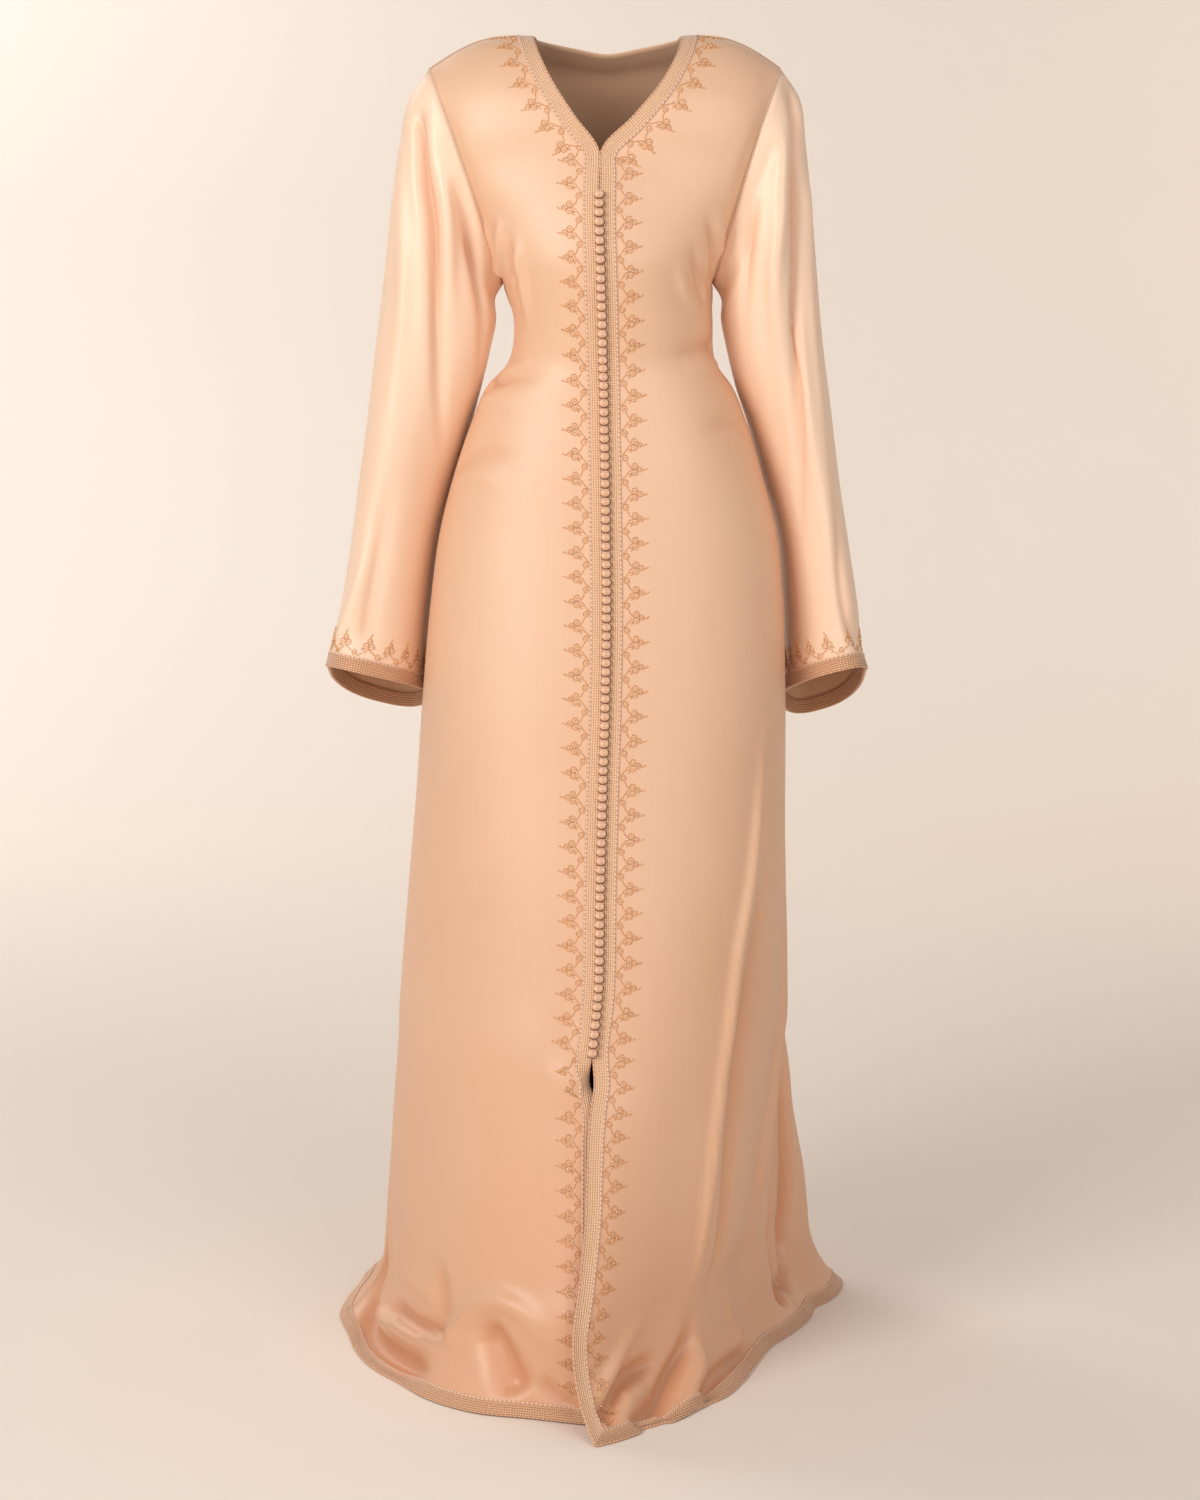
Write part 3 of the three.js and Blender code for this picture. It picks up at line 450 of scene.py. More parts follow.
def coloured(tree, shader, colour):
    tree.links.new(colour, shader.inputs["Base Color"])


def embossed(tree, shader, height, strength, distance, **others):
    """Raises the surface by a height, seen in its shading only."""
    settings = {"Height": height, "Strength": strength, "Distance": distance, **others}
    tree.links.new(node(tree, "ShaderNodeBump", settings).outputs["Normal"], shader.inputs["Normal"])


def satin_finish(name, shade, light, deep):
    """Peach satin: long floats of fine yarn down the cloth, a soft broad gloss and a faint slub. Shade is
    painted into its colour: darker in the hollows of the creases and towards the floor."""
    material, tree, shader = finish_of(
        name, 0.42, Specular_IOR_Level=0.7, Anisotropic=0.5, Sheen_Weight=0.10, Sheen_Roughness=0.4
    )
    shader.inputs["Sheen Tint"].default_value = (1.0, 0.86, 0.74, 1)
    uv = node(tree, "ShaderNodeUVMap", uv_map="UVMap").outputs["UV"]
    floats = node(tree, "ShaderNodeMapping", {"Vector": uv, "Scale": (2600, 300, 1)}).outputs["Vector"]
    yarn = noise(tree, floats, 1.0, 2.0)
    slubs = node(tree, "ShaderNodeMapping", {"Vector": uv, "Scale": (160, 14, 1)}).outputs["Vector"]
    slub = noise(tree, slubs, 1.0, 3.0)
    place = node(tree, "ShaderNodeTexCoord").outputs["Object"]
    cloud = noise(tree, place, 5.0, 2.0)
    tone = node(tree, "ShaderNodeMath", {0: slub, 1: 0.35, 2: cloud}, operation="MULTIPLY_ADD").outputs[0]
    face = ramp_of(tree, tone, 0.45, shade, 0.95, light)
    # Painted shade: the colour turns to the dark tone from 0.7 m to 1.4 m below the shoulders, towards the
    # floor.
    level = node(tree, "ShaderNodeSeparateXYZ", {"Vector": place}).outputs["Z"]
    painted_floor_shade_range = {"Value": level, "From Min": -0.70, "From Max": -1.40, "To Min": 0.0, "To Max": 0.55}
    low = node(tree, "ShaderNodeMapRange", painted_floor_shade_range).outputs["Result"]
    # Painted shade: the deeper a point was pressed into a crease, the more its colour turns to the dark tone.
    pressing = node(tree, "ShaderNodeAttribute", attribute_name="pressing").outputs["Fac"]
    painted_crease_shade_range = {"Value": pressing, "From Min": -0.5, "From Max": -13.0, "To Min": 0.0, "To Max": 0.7}
    painted_crease_shade = node(tree, "ShaderNodeMapRange", painted_crease_shade_range).outputs["Result"]
    share = node(tree, "ShaderNodeMath", {0: low, 1: painted_crease_shade}, operation="ADD", use_clamp=True).outputs[0]
    coloured(tree, shader, blend_of(tree, share, face, deep))
    fine_bump = node(tree, "ShaderNodeBump", {"Height": yarn, "Strength": 0.05, "Distance": 0.1 * MM})
    embossed(tree, shader, slub, 0.10, 0.3 * MM, Normal=fine_bump.outputs[0])
    tangent = node(tree, "ShaderNodeTangent", direction_type="UV_MAP", uv_map="UVMap")
    tree.links.new(tangent.outputs["Tangent"], shader.inputs["Tangent"])
    return material


def crepe_finish():
    """The dull crepe back of the satin, which shows inside the neck, the hem and the cuffs."""
    material, tree, shader = finish_of("crepe_back", 0.85, Specular_IOR_Level=0.2, Sheen_Weight=0.3)
    grain = grain_of(tree, 1400.0, 2.0)
    coloured(tree, shader, ramp_of(tree, grain, 0.0, (0.62, 0.36, 0.22, 1), 1.0, (0.78, 0.50, 0.33, 1)))
    embossed(tree, shader, grain, 0.3, 0.2 * MM)
    return material


def entered(piece, slot, *replaced):
    """Enters a piece: hides the nodes that it stands for and hangs it on the body that carries it. The slot is
    not used.
    """
    if replaced:
        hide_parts(*replaced)
    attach(piece, "root")
    return piece


# The last colour of each satin is the dark tone of its painted shade, towards the floor and in the crease
# hollows.
satin = satin_finish(
    "peach_satin", (0.800, 0.485, 0.312, 1), (0.840, 0.535, 0.352, 1), (0.700, 0.345, 0.190, 1)
)
crepe = crepe_finish()
FRONT_CUT = (0.50, 1.50)
BACK_CUT = (1.10, 1.52)
panels = {}
for side in NODES:
    size = BACK_CUT if side == "back" else FRONT_CUT
    panels[side] = laid(NODES[side] + "_satin", sheets[side], size, push=hollows[side])
    panels[side].data.materials.append(satin)
    wall(panels[side], CLOTH_THICK, crepe)
    entered(panels[side], "satin", NODES[side])

# ------------------------------------------------------------------ the sleeves
# A wide straight sleeve on each side, one piece of the same satin, set in a deep armhole and closed by
# one seam under the arm, its colour painted paler than the body's as painted light. The cloth falls in
# two or three long folds from the shoulder to the cuff.
SLEEVE_STEPS = [5] * 20
SLEEVE_CUT = (0.50, 0.66)
SLEEVE_CREASES = {
    "right": [
        ([(-203, -38, -60), (-201, -44, -83), (-196, -54, -128), (-191, -58, -184), (-187, -57, -241),
          (-184, -49, -315), (-182, -25, -401), (-181, 24, -491)], 7.1, -14.4, 0.15, 0.5),
        ([(-158, -56, -125), (-155, -55, -159), (-151, -50, -194), (-143, -41, -241), (-137, -22, -304),
          (-150, 10, -390)], 6.4, -14.4, 0.1, 0.5),
        ([(-178, -56, -110), (-173, -60, -170), (-168, -56, -240), (-163, -42, -320)], 7.8, 6.6, 0.3, 0.5),
        ([(-216, -22, -90), (-218, -38, -160), (-222, -46, -250), (-230, -48, -350), (-242, -44, -450)],
         9.2, 5.7, 0.3, 0.6),
        ([(-232, -46, -440), (-246, -44, -520), (-262, -36, -600), (-272, -30, -660)], 10, -6.6, 0.5, 0.2),
        ([(-252, -46, -500), (-270, -40, -580), (-288, -24, -650)], 9.2, 5.7, 0.5, 0.1),
        ([(-205, 30, -70), (-212, 62, -150), (-222, 84, -260), (-234, 100, -380), (-248, 112, -500)],
         8.6, -9.9, 0.2, 0.5),
        ([(-170, 66, -120), (-172, 82, -200), (-180, 98, -300), (-196, 112, -420), (-212, 122, -540)],
         8.6, -14.4, 0.2, 0.5),
        ([(-190, 66, -120), (-194, 86, -210), (-206, 104, -330), (-224, 118, -460)], 8.6, 8.2, 0.3, 0.5),
    ],
    "left": [
        ([(188, -26, -40), (194, -32, -61), (200, -36, -98), (202, -41, -167), (201, -48, -230),
          (202, -54, -304), (206, -45, -400), (210, -30, -487), (212, -19, -554)], 6.4, -15, 0.05, 0.5),
        ([(176, -53, -91), (159, -59, -131), (154, -58, -159), (151, -54, -199), (149, -47, -260),
          (151, -29, -336)], 7.1, -9.4, 0.2, 0.5),
        ([(183, -46, -70), (184, -54, -110), (182, -58, -170), (180, -58, -240), (182, -52, -330),
          (190, -38, -430)], 8.6, 8.2, 0.2, 0.5),
        ([(210, -22, -110), (216, -30, -190), (222, -36, -280), (228, -36, -380), (236, -34, -480)],
         8.6, 7.5, 0.2, 0.5),
        ([(238, -30, -430), (246, -34, -520), (254, -32, -600), (260, -28, -660)], 9.2, -5.7, 0.5, 0.2),
        ([(199, 30, -70), (204, 62, -150), (213, 84, -260), (224, 100, -380), (236, 112, -500)],
         8.6, -9.9, 0.2, 0.5),
        ([(166, 66, -125), (170, 84, -210), (178, 98, -300), (192, 112, -420), (206, 122, -540)],
         8.6, -14.4, 0.2, 0.5),
        ([(184, 66, -120), (188, 86, -210), (198, 104, -330), (214, 118, -460)], 8.6, 8.2, 0.3, 0.5),
    ],
}
ARMHOLE_TOP = {"right": Vector((-192, -8, -28)) * MM, "left": Vector((184, -8, -27)) * MM}
# A paler copy of the peach satin for the sleeves, as painted light; its last colour is the dark tone of its
# painted shade.
paler_sleeve_satin = satin_finish(
    "peach_satin_painted_paler", (0.94, 0.66, 0.48, 1), (0.97, 0.71, 0.53, 1), (0.74, 0.39, 0.23, 1)
)
sleeves = {}
for side, corner in ARMHOLE_TOP.items():
    name = "sleeve_" + side
    rings = cloth_rows(name, corner, Vector((0, -1, 0)), closed=True)
    coarse[name] = rings
    round_ = np.concatenate([rings, rings[:, :1]], axis=1)
    dense = fine(round_, rings[:, -1], rings[:, 1], SLEEVE_STEPS, spans(rings, ROW_STEP))
    sheets[name], push = pressed(dense, SLEEVE_CREASES[side], closed=True)
    sleeves[side] = laid(name + "_satin", sheets[name], SLEEVE_CUT, closed=True, push=push)
    sleeves[side].data.materials.append(paler_sleeve_satin)
    wall(sleeves[side], CLOTH_THICK, crepe)
    entered(sleeves[side], "satin", name)

# ------------------------------------------------------------------ the braids
# Silk braid 17 mm wide along both front edges, the neck, the hem and the cuffs: five plaited lines side
# by side, sewn flat to the cloth, and a two-coloured twisted cord sewn down each edge.
BRAID = 17 * MM
BRAID_STEP = 3.2 * MM


class Ground:
    """The cloth that trimming is sewn to: it seats points on the cloth and gives the normal there."""

    def __init__(self, *names):
        places, normals, faces = [], [], []
        for name in names:
            sheet = sheets[name]
            rows, columns = sheet.shape[:2]
            first = sum(len(part) for part in places)
            places.append(sheet.reshape(-1, 3))
            normals.append(normals_of(sheet, name.startswith("sleeve")).reshape(-1, 3))
            index = np.arange(rows * columns).reshape(rows, columns) + first
            corners = (index[:-1, :-1], index[:-1, 1:], index[1:, 1:], index[1:, :-1])
            faces += np.stack(corners, axis=-1).reshape(-1, 4).tolist()
        self.places, self.normals, self.faces = np.concatenate(places), np.concatenate(normals), faces
        self.tree = BVHTree.FromPolygons(self.places.tolist(), faces)

    def seat(self, point):
        place, _, face, _ = self.tree.find_nearest(Vector(point))
        corners = self.faces[face]
        weight = 1 / (np.linalg.norm(self.places[corners] - np.array(place), axis=1) + 0.2 * MM) ** 2
        normal = (self.normals[corners] * weight[:, None]).sum(axis=0)
        return np.array(place), normal / np.linalg.norm(normal)


grounds = {name: Ground(name) for name in sheets}
grounds["body"] = Ground("right", "left", "back")


def lengths(line):
    """How far along the line each of its points lies."""
    return np.concatenate([[0], np.cumsum(np.linalg.norm(np.diff(line, axis=0), axis=1))])


def evenly(line, step):
    """The same line with its points set evenly, about a step apart."""
    run = lengths(line)
    count = max(2, round(run[-1] / step) + 1)
    at = np.linspace(0, run[-1], count)
    return np.stack([np.interp(at, run, line[:, k]) for k in range(3)], axis=1)


def edge_frames(line, ground, inside, closed=False):
    """For each point of an edge: its place, the direction along it, the direction into the cloth and
    the cloth's normal."""
    if closed:
        line = line[:-1]
        along = np.roll(line, -1, axis=0) - np.roll(line, 1, axis=0)
    else:
        along = np.gradient(line, axis=0)
    along /= np.linalg.norm(along, axis=1, keepdims=True)
    normal = np.array([ground.seat(point)[1] for point in line])
    into = np.cross(normal, along)
    into /= np.linalg.norm(into, axis=1, keepdims=True)
    if (into * (inside - line)).sum() < 0:
        into = -into
    if closed:
        line, along, into, normal = (np.concatenate([part, part[:1]]) for part in (line, along, into, normal))
    return line, along, into, normal


def mitre(run, across):
    """How far a trimming's line starts from a corner, so that two trimmings meet there on the slant."""
    return run + across * max(0.0, 1 - run / (3 * BRAID))


def seated(edge, ground, mitred=False):
    """The stations of a trimming whose places are found straight in from an edge, and a function that
    gives the cloth's place and normal at a station and a distance in."""
    line, _, into, _ = edge
    run = lengths(line)

    def spot(i, across):
        here = mitre(run[i], across) if mitred else run[i]
        point, way = (np.array([np.interp(here, run, part[:, k]) for k in range(3)]) for part in (line, into))
        return ground.seat(point + way * across)

    return run, spot


HEM_ROWS = 16


def measured(sheet, normals, step, mitred=False):
    """The same for a hem, where the distance in is measured along the cloth's own columns."""
    grids = [np.swapaxes(part, 0, 1)[:, :HEM_ROWS] for part in (sheet, normals)]
    edge = lengths(grids[0][:, 0])
    deep = [lengths(column) for column in grids[0]]
    run = np.linspace(0, edge[-1], round(edge[-1] / step) + 1)

    def spot(i, across):
        here = mitre(run[i], across) if mitred else run[i]
        at = min(np.interp(here, edge, np.arange(len(edge))), len(edge) - 1.001)
        low = int(at)
        found = []
        for grid in grids:
            ends = []
            for column in (low, low + 1):
                ends.append(np.array([np.interp(across, deep[column], grid[column][:, k]) for k in range(3)]))
            found.append(ends[0] + (ends[1] - ends[0]) * (at - low))
        return found[0], found[1] / np.linalg.norm(found[1])

    return run, spot


def ribbon(name, course, profile, closed=False):
    """A flat trimming along a course of stations: its cross-section is a list of distances in from
    the edge and heights over the cloth."""
    run, spot = course
    places = np.zeros((len(run), len(profile), 3))
    for i in range(len(run)):
        for j, (across, height) in enumerate(profile):
            place, normal = spot(i, across)
            places[i, j] = place + normal * height
    places[..., 2] = np.maximum(places[..., 2], HEM_LEVEL)
    if closed:
        places[-1] = places[0]
    piece = laid(name, places, (profile[-1][0] - profile[0][0], run[-1]))
    if closed:
        made = bmesh.new()
        made.from_mesh(piece.data)
        bmesh.ops.remove_doubles(made, verts=made.verts, dist=WELD)
        made.to_mesh(piece.data)
        made.free()
    return piece


PLAITS = 5
PLAIT = 2.6 * MM
PLAITS_FROM = 1.4 * MM
BRAID_RIM = (0.1 * MM, 0.2 * MM)
RIDGE = ((0.22, 1.45 * MM), (0.5, 1.7 * MM), (0.78, 1.45 * MM))
GROOVE = 0.8 * MM
LEDGE = (0.5 * MM, 15.4 * MM, 1.1 * MM)


def braid_profile():
    """A low ridge for each plaited line and a flat ledge under the outer cord, with both edges down on
    the cloth."""
    inset, edge_height = BRAID_RIM
    points = [BRAID_RIM]
    for k in range(PLAITS):
        start = PLAITS_FROM + k * PLAIT
        points.append((start, GROOVE))
        points += [(start + share * PLAIT, height) for share, height in RIDGE]
    end = PLAITS_FROM + PLAITS * PLAIT
    after_groove, ledge_end, ledge_height = LEDGE
    points += [(end, GROOVE), (end + after_groove, ledge_height), (ledge_end, ledge_height)]
    points.append((BRAID - inset, edge_height))
    return points


def math_node(tree, operation, *values):
    """The output of a Math node on up to three values."""
    return node(tree, "ShaderNodeMath", dict(enumerate(values)), operation=operation).outputs[0]


CHEVRON = 2.8 * MM


def uv_axes(tree):
    """The two coordinates of a piece's own UV map: across it or round it, and along it."""
    uv = node(tree, "ShaderNodeUVMap", uv_map="UVMap").outputs["UV"]
    parts = node(tree, "ShaderNodeSeparateXYZ", {"Vector": uv}).outputs
    return parts["X"], parts["Y"]


def braid_finish(name, dark, light, painted_groove_shade, ledge):
    """Plaited silk: chevrons of two tones along each line, painted shade in the grooves between the
    lines, and a plain ledge under the outer cord."""
    material, tree, shader = finish_of(name, 0.5, Specular_IOR_Level=0.45, Sheen_Weight=0.3)
    across, along = uv_axes(tree)
    lines = math_node(tree, "DIVIDE", math_node(tree, "SUBTRACT", across, PLAITS_FROM), PLAIT)
    share = math_node(tree, "FRACT", lines)
    aside = math_node(tree, "ABSOLUTE", math_node(tree, "SUBTRACT", share, 0.5))
    lean = math_node(tree, "MULTIPLY_ADD", aside, 1.3 * PLAIT, along)
    wave = math_node(tree, "SINE", math_node(tree, "MULTIPLY", lean, 2 * math.pi / CHEVRON))
    level = math_node(tree, "MULTIPLY_ADD", wave, 0.5, 0.5)
    groove = math_node(tree, "GREATER_THAN", aside, 0.42)
    plaited = math_node(tree, "LESS_THAN", lines, float(PLAITS))
    chevron = blend_of(tree, level, dark, light)
    # Painted shade: the grooves between the plaited lines are painted dark.
    groove_shaded = blend_of(tree, groove, chevron, painted_groove_shade)
    coloured(tree, shader, blend_of(tree, plaited, ledge, groove_shaded))
    height = math_node(tree, "MULTIPLY", math_node(tree, "SUBTRACT", level, groove), plaited)
    embossed(tree, shader, height, 0.7, 0.5 * MM)
    return material


def cord_finish(name, one, two):
    """Two-ply silk cord: one ply of each colour, laid round each other, with a fine twist in the yarn."""
    material, tree, shader = finish_of(name, 0.45, Specular_IOR_Level=0.5, Sheen_Weight=0.25)
    around, along = uv_axes(tree)
    second = math_node(tree, "GREATER_THAN", math_node(tree, "FRACT", around), 0.5)
    coloured(tree, shader, blend_of(tree, second, one, two))
    twist = math_node(tree, "MULTIPLY_ADD", around, 6.0, math_node(tree, "MULTIPLY", along, 900.0))
    wave = math_node(tree, "SINE", math_node(tree, "MULTIPLY", twist, 2 * math.pi))
    embossed(tree, shader, wave, 0.3, 0.12 * MM)
    return material


CORD_SIDES = 6


def twisted(name, line, radius, pitch, closed=False):
    """A two-ply cord along a line: its section is twice as wide as it is thick, and turns as it goes."""
    line = evenly(line, pitch / CORD_SIDES)
    along = np.gradient(line, axis=0)
    if closed:
        along[0] = along[-1] = line[1] - line[-2]
    along /= np.linalg.norm(along, axis=1, keepdims=True)
    side = np.cross(along, (0.13, 0.29, 0.95))
    side /= np.linalg.norm(side, axis=1, keepdims=True)
    up = np.cross(side, along)
    length = np.linalg.norm(np.diff(line, axis=0), axis=1).sum()
    turns = round(length / pitch) if closed else length / pitch
    turn = np.linspace(0, 2 * math.pi * turns, len(line))[:, None]
    angle = np.linspace(0, 2 * math.pi, CORD_SIDES + 1)[None]
    wide, thick = radius * np.cos(angle), 0.55 * radius * np.sin(angle)
    right_way = (wide * np.cos(turn) - thick * np.sin(turn))[..., None]
    up_way = (wide * np.sin(turn) + thick * np.cos(turn))[..., None]
    places = line[:, None] + side[:, None] * right_way + up[:, None] * up_way
    piece = laid(name, places, (1.0, length), closed=True)
    shut(piece)
    return piece


def shut(piece):
    """Closes a tube's ends and turns its faces outwards."""
    made = bmesh.new()
    made.from_mesh(piece.data)
    bmesh.ops.remove_doubles(made, verts=made.verts, dist=WELD)
    ends = [edge for edge in made.edges if edge.is_boundary]
    if ends:
        bmesh.ops.holes_fill(made, edges=ends, sides=0)
    bmesh.ops.recalc_face_normals(made, faces=made.faces)
    made.to_mesh(piece.data)
    made.free()


# The third colour of each braid is painted shade in the grooves between its plaited lines.
braid = braid_finish(
    "silk_braid", (0.76, 0.42, 0.25, 1), (1.0, 0.69, 0.45, 1), (0.46, 0.22, 0.12, 1), (0.90, 0.60, 0.40, 1)
)
hem_silk = braid_finish(
    "copper_braid", (0.52, 0.24, 0.12, 1), (0.98, 0.60, 0.37, 1), (0.22, 0.085, 0.035, 1), (0.80, 0.47, 0.26, 1)
)
outer_cord = cord_finish("mauve_and_peach_cord", (0.64, 0.39, 0.28, 1), (0.92, 0.64, 0.46, 1))
inner_cord = cord_finish("copper_cord", (0.64, 0.34, 0.19, 1), (0.84, 0.52, 0.33, 1))
OUTER_CORD = {"radius": 1.35 * MM, "pitch": 5.0 * MM, "across": 15.6 * MM, "height": 0.9 * MM}
INNER_CORD = {"radius": 1.1 * MM, "pitch": 5.0 * MM, "across": 0.9 * MM, "height": 0.9 * MM}


def cord_line(course, across, height, closed=False):
    run, spot = course
    seats = [spot(i, across) for i in range(len(run))]
    places = np.array([place + normal * height for place, normal in seats])
    if closed:
        places[-1] = places[0]
    return places


def trimmed(name, node_name, course, finish, closed=False):
    """The whole braid on one edge: the ribbon with its outer and inner cord. Gives back its pieces."""
    flat = wall(ribbon(name, course, braid_profile(), closed), 0.5 * MM)
    flat.data.materials.append(finish)
    pieces = [entered(flat, "braid", node_name)]
    for label, size, colours in (("outer", OUTER_CORD, outer_cord), ("inner", INNER_CORD, inner_cord)):
        line = cord_line(course, size["across"], size["height"], closed)
        line[:, 2] = np.maximum(line[:, 2], HEM_LEVEL + size["radius"])
        cord = twisted(f"{name}_{label}_cord", line, size["radius"], size["pitch"], closed)
        cord.data.materials.append(colours)
        pieces.append(entered(cord, "braid"))
    return pieces


INWARDS = 6
NECK_BACK_INSIDE = (-12, 65)


def opening_edge(side):
    """The front edge of a front, from the hem up to the shoulder seam."""
    sheet = sheets[side]
    line = evenly(sheet[:, 0], BRAID_STEP)
    inside = sheet[np.linspace(0, len(sheet) - 1, len(line)).astype(int), INWARDS]
    return edge_frames(line, grounds[side], inside)


front_edges, trims = {}, {}
for side in ("right", "left"):
    front_edges[side] = opening_edge(side)
    course = seated(front_edges[side], grounds[side], mitred=True)
    trims[side] = trimmed(f"front_braid_{side}", f"front_trim_{side}", course, braid)

FRONT_COLUMNS = 9
neck_line = sheets["back"][-1, BACK_STEPS[0] * FRONT_COLUMNS:-BACK_STEPS[0] * FRONT_COLUMNS]
neck_line = evenly(neck_line, BRAID_STEP)
neck_inside = np.repeat(sheets["back"][NECK_BACK_INSIDE][None], len(neck_line), axis=0)
neck_edge = edge_frames(neck_line, grounds["back"], neck_inside)
trims["back"] = trimmed("neck_braid_back", "neck_trim_back", seated(neck_edge, grounds["body"]), braid)

for side in NODES:
    course = measured(sheets[side], normals_of(sheets[side]), BRAID_STEP, mitred=side != "back")
    trims[side] += trimmed(f"hem_braid_{side}", f"hem_trim_{side}", course, hem_silk)

cuff_edges = {}
for side in ("right", "left"):
    name = "sleeve_" + side
    line = evenly(sheets[name][-1], BRAID_STEP)
    inside = (line + (0, 0, 2 * BRAID))[:-1]
    cuff_edges[side] = edge_frames(line, grounds[name], inside, closed=True)
    course = seated(cuff_edges[side], grounds[name])
    trims[name] = trimmed(f"cuff_braid_{side}", f"cuff_trim_{side}", course, hem_silk, closed=True)

# ------------------------------------------------------------------ the cuff facings
# A band of brown ribbed silk inside each cuff, cut on the straight and hemmed down by hand.
RIB = 2.6 * MM
FACING = {"from": 0.3 * MM, "wide": 16.4 * MM, "strips": 6, "depth": -2.0 * MM, "thick": 0.7 * MM}


def ribbed_finish():
    """Brown ribbed silk: fine ribs round the arm, dull between."""
    material, tree, shader = finish_of("ribbed_facing", 0.6, Specular_IOR_Level=0.35, Sheen_Weight=0.2)
    ribs = math_node(tree, "SINE", math_node(tree, "MULTIPLY", uv_axes(tree)[0], 2 * math.pi / RIB))
    level = math_node(tree, "MULTIPLY_ADD", ribs, 0.5, 0.5)
    coloured(tree, shader, blend_of(tree, level, (0.36, 0.17, 0.09, 1), (0.68, 0.39, 0.23, 1)))
    embossed(tree, shader, level, 0.8, 0.6 * MM)
    return material


facing_finish = ribbed_finish()
for side in ("right", "left"):
    ground = grounds["sleeve_" + side]
    shares = [k / FACING["strips"] for k in range(FACING["strips"] + 1)]
    profile = [(FACING["from"] + FACING["wide"] * share, FACING["depth"]) for share in shares]
    facing = ribbon(f"cuff_facing_{side}_ribbed", seated(cuff_edges[side], ground), profile, closed=True)
    facing.data.materials.append(facing_finish)
    wall(facing, FACING["thick"])
    entered(facing, "satin_back", f"cuff_facing_{side}")

# ------------------------------------------------------------------ the knots
# A close row of round knots worked over silk cord, eight to a length, sewn where the two fronts meet,
# from the point of the neck to the top of the front opening, with a loop of cord under each whose dark
# colour is partly the cord's own and partly painted shade under the knot.
KNOT = {
    "per_group": 8, "width": 5.2 * MM, "tall": 4.4 * MM, "lift": 4.7 * MM,
    "strands": 7, "slant": 5, "relief": 0.08,
}
LOOP = {
    "radius": 0.55 * MM, "steps": 9, "wide": 5.5 * MM, "tall": 4.7 * MM,
    "start": -150, "sweep": 190, "belly": 0.6 * MM,
}


def knot_finish():
    """Knots of pink-beige silk, with painted highlight on each strand and painted shade in the gaps between."""
    material, tree, shader = finish_of("knot_silk", 0.6, Specular_IOR_Level=0.3, Sheen_Weight=0.2)
    # Painted highlight and shade: light on the strands, dark in the gaps between them.
    level = node(tree, "ShaderNodeAttribute", attribute_name="relief").outputs["Fac"]
    coloured(tree, shader, ramp_of(tree, level, 0.15, (0.66, 0.36, 0.22, 1), 0.7, (0.92, 0.60, 0.41, 1)))
    embossed(tree, shader, grain_of(tree, 2400.0, 1.0), 0.4, 0.15 * MM)
    return material


def loop_finish():
    """Dark brown silk cord: partly the cord's own brown, partly painted shade under each knot."""
    material, tree, shader = finish_of("loop_cord_and_painted_shade", 0.5, Specular_IOR_Level=0.4)
    yarn = grain_of(tree, 1800.0, 1.0)
    # Painted dark: partly the cord's own brown and partly the shade under each knot.
    coloured(tree, shader, blend_of(tree, yarn, (0.09, 0.04, 0.022, 1), (0.26, 0.13, 0.075, 1)))
    return material


def level_on(line, z):
    """The place on a line at a level."""
    return np.array([np.interp(z, line[:, 2], line[:, k]) for k in range(3)])


def closure_at(z):
    """The place over the meeting of the fronts at a level, the way up it, across it and out of it."""
    lines = [sheets[side][:, 0] for side in ("right", "left")]
    place, higher = (sum(level_on(line, at) for line in lines) / 2 for at in (z, z + 8 * MM))
    up = (higher - place) / np.linalg.norm(higher - place)
    across = np.array([1.0, 0, 0])
    out = np.cross(across, up)
    return place, up, across, -out if out[1] > 0 else out


def ball(made, seat, relief):
    """One knot: a barrel with strands that cross it on the slant both ways."""
    place, up, across, out = seat
    new = bmesh.ops.create_uvsphere(made, u_segments=18, v_segments=11, radius=1)["verts"]
    for vert in new:
        x, y, z = vert.co
        around, rise = math.atan2(y, x), math.asin(max(-1, min(1, z)))
        turn, slant = KNOT["strands"] * around, KNOT["slant"] * rise
        strands = math.cos(turn + slant) * math.cos(turn - slant)
        swell = 1 + KNOT["relief"] * strands
        barrel = 1.0 - 0.16 * z**4
        local = (x * swell * barrel, y * swell * barrel, z * (1 + 0.1 * (1 - abs(z))))
        flat = across * local[0] * KNOT["width"] + out * local[1] * KNOT["width"]
        vert.co = place + flat + up * local[2] * KNOT["tall"]
        # The strand relief, which the knot silk paints as highlight on the strands and as shade in the gaps and
        # towards the top and bottom of each knot.
        vert[relief] = 0.5 + 0.5 * strands * math.cos(rise)


def cords(name, lines, radius, finish, slot):
    """Thin round cords along many lines as one piece, each closed at both ends."""
    path = bpy.data.curves.new(name, "CURVE")
    path.dimensions = "3D"
    path.bevel_depth = radius
    path.bevel_resolution = 0
    path.use_fill_caps = True
    for line in lines:
        spline = path.splines.new("POLY")
        spline.points.add(len(line) - 1)
        spline.points.foreach_set("co", np.c_[np.array(line), np.ones(len(line))].ravel())
    shape = bpy.data.objects.new(name, path)
    mesh = bpy.data.meshes.new_from_object(shape)
    bpy.data.objects.remove(shape)
    bpy.data.curves.remove(path)
    made = bmesh.new()
    made.from_mesh(mesh)
    bpy.data.meshes.remove(mesh)
    bmesh.ops.remove_doubles(made, verts=made.verts, dist=WELD / 10)
    return finished(name, made, finish, slot)


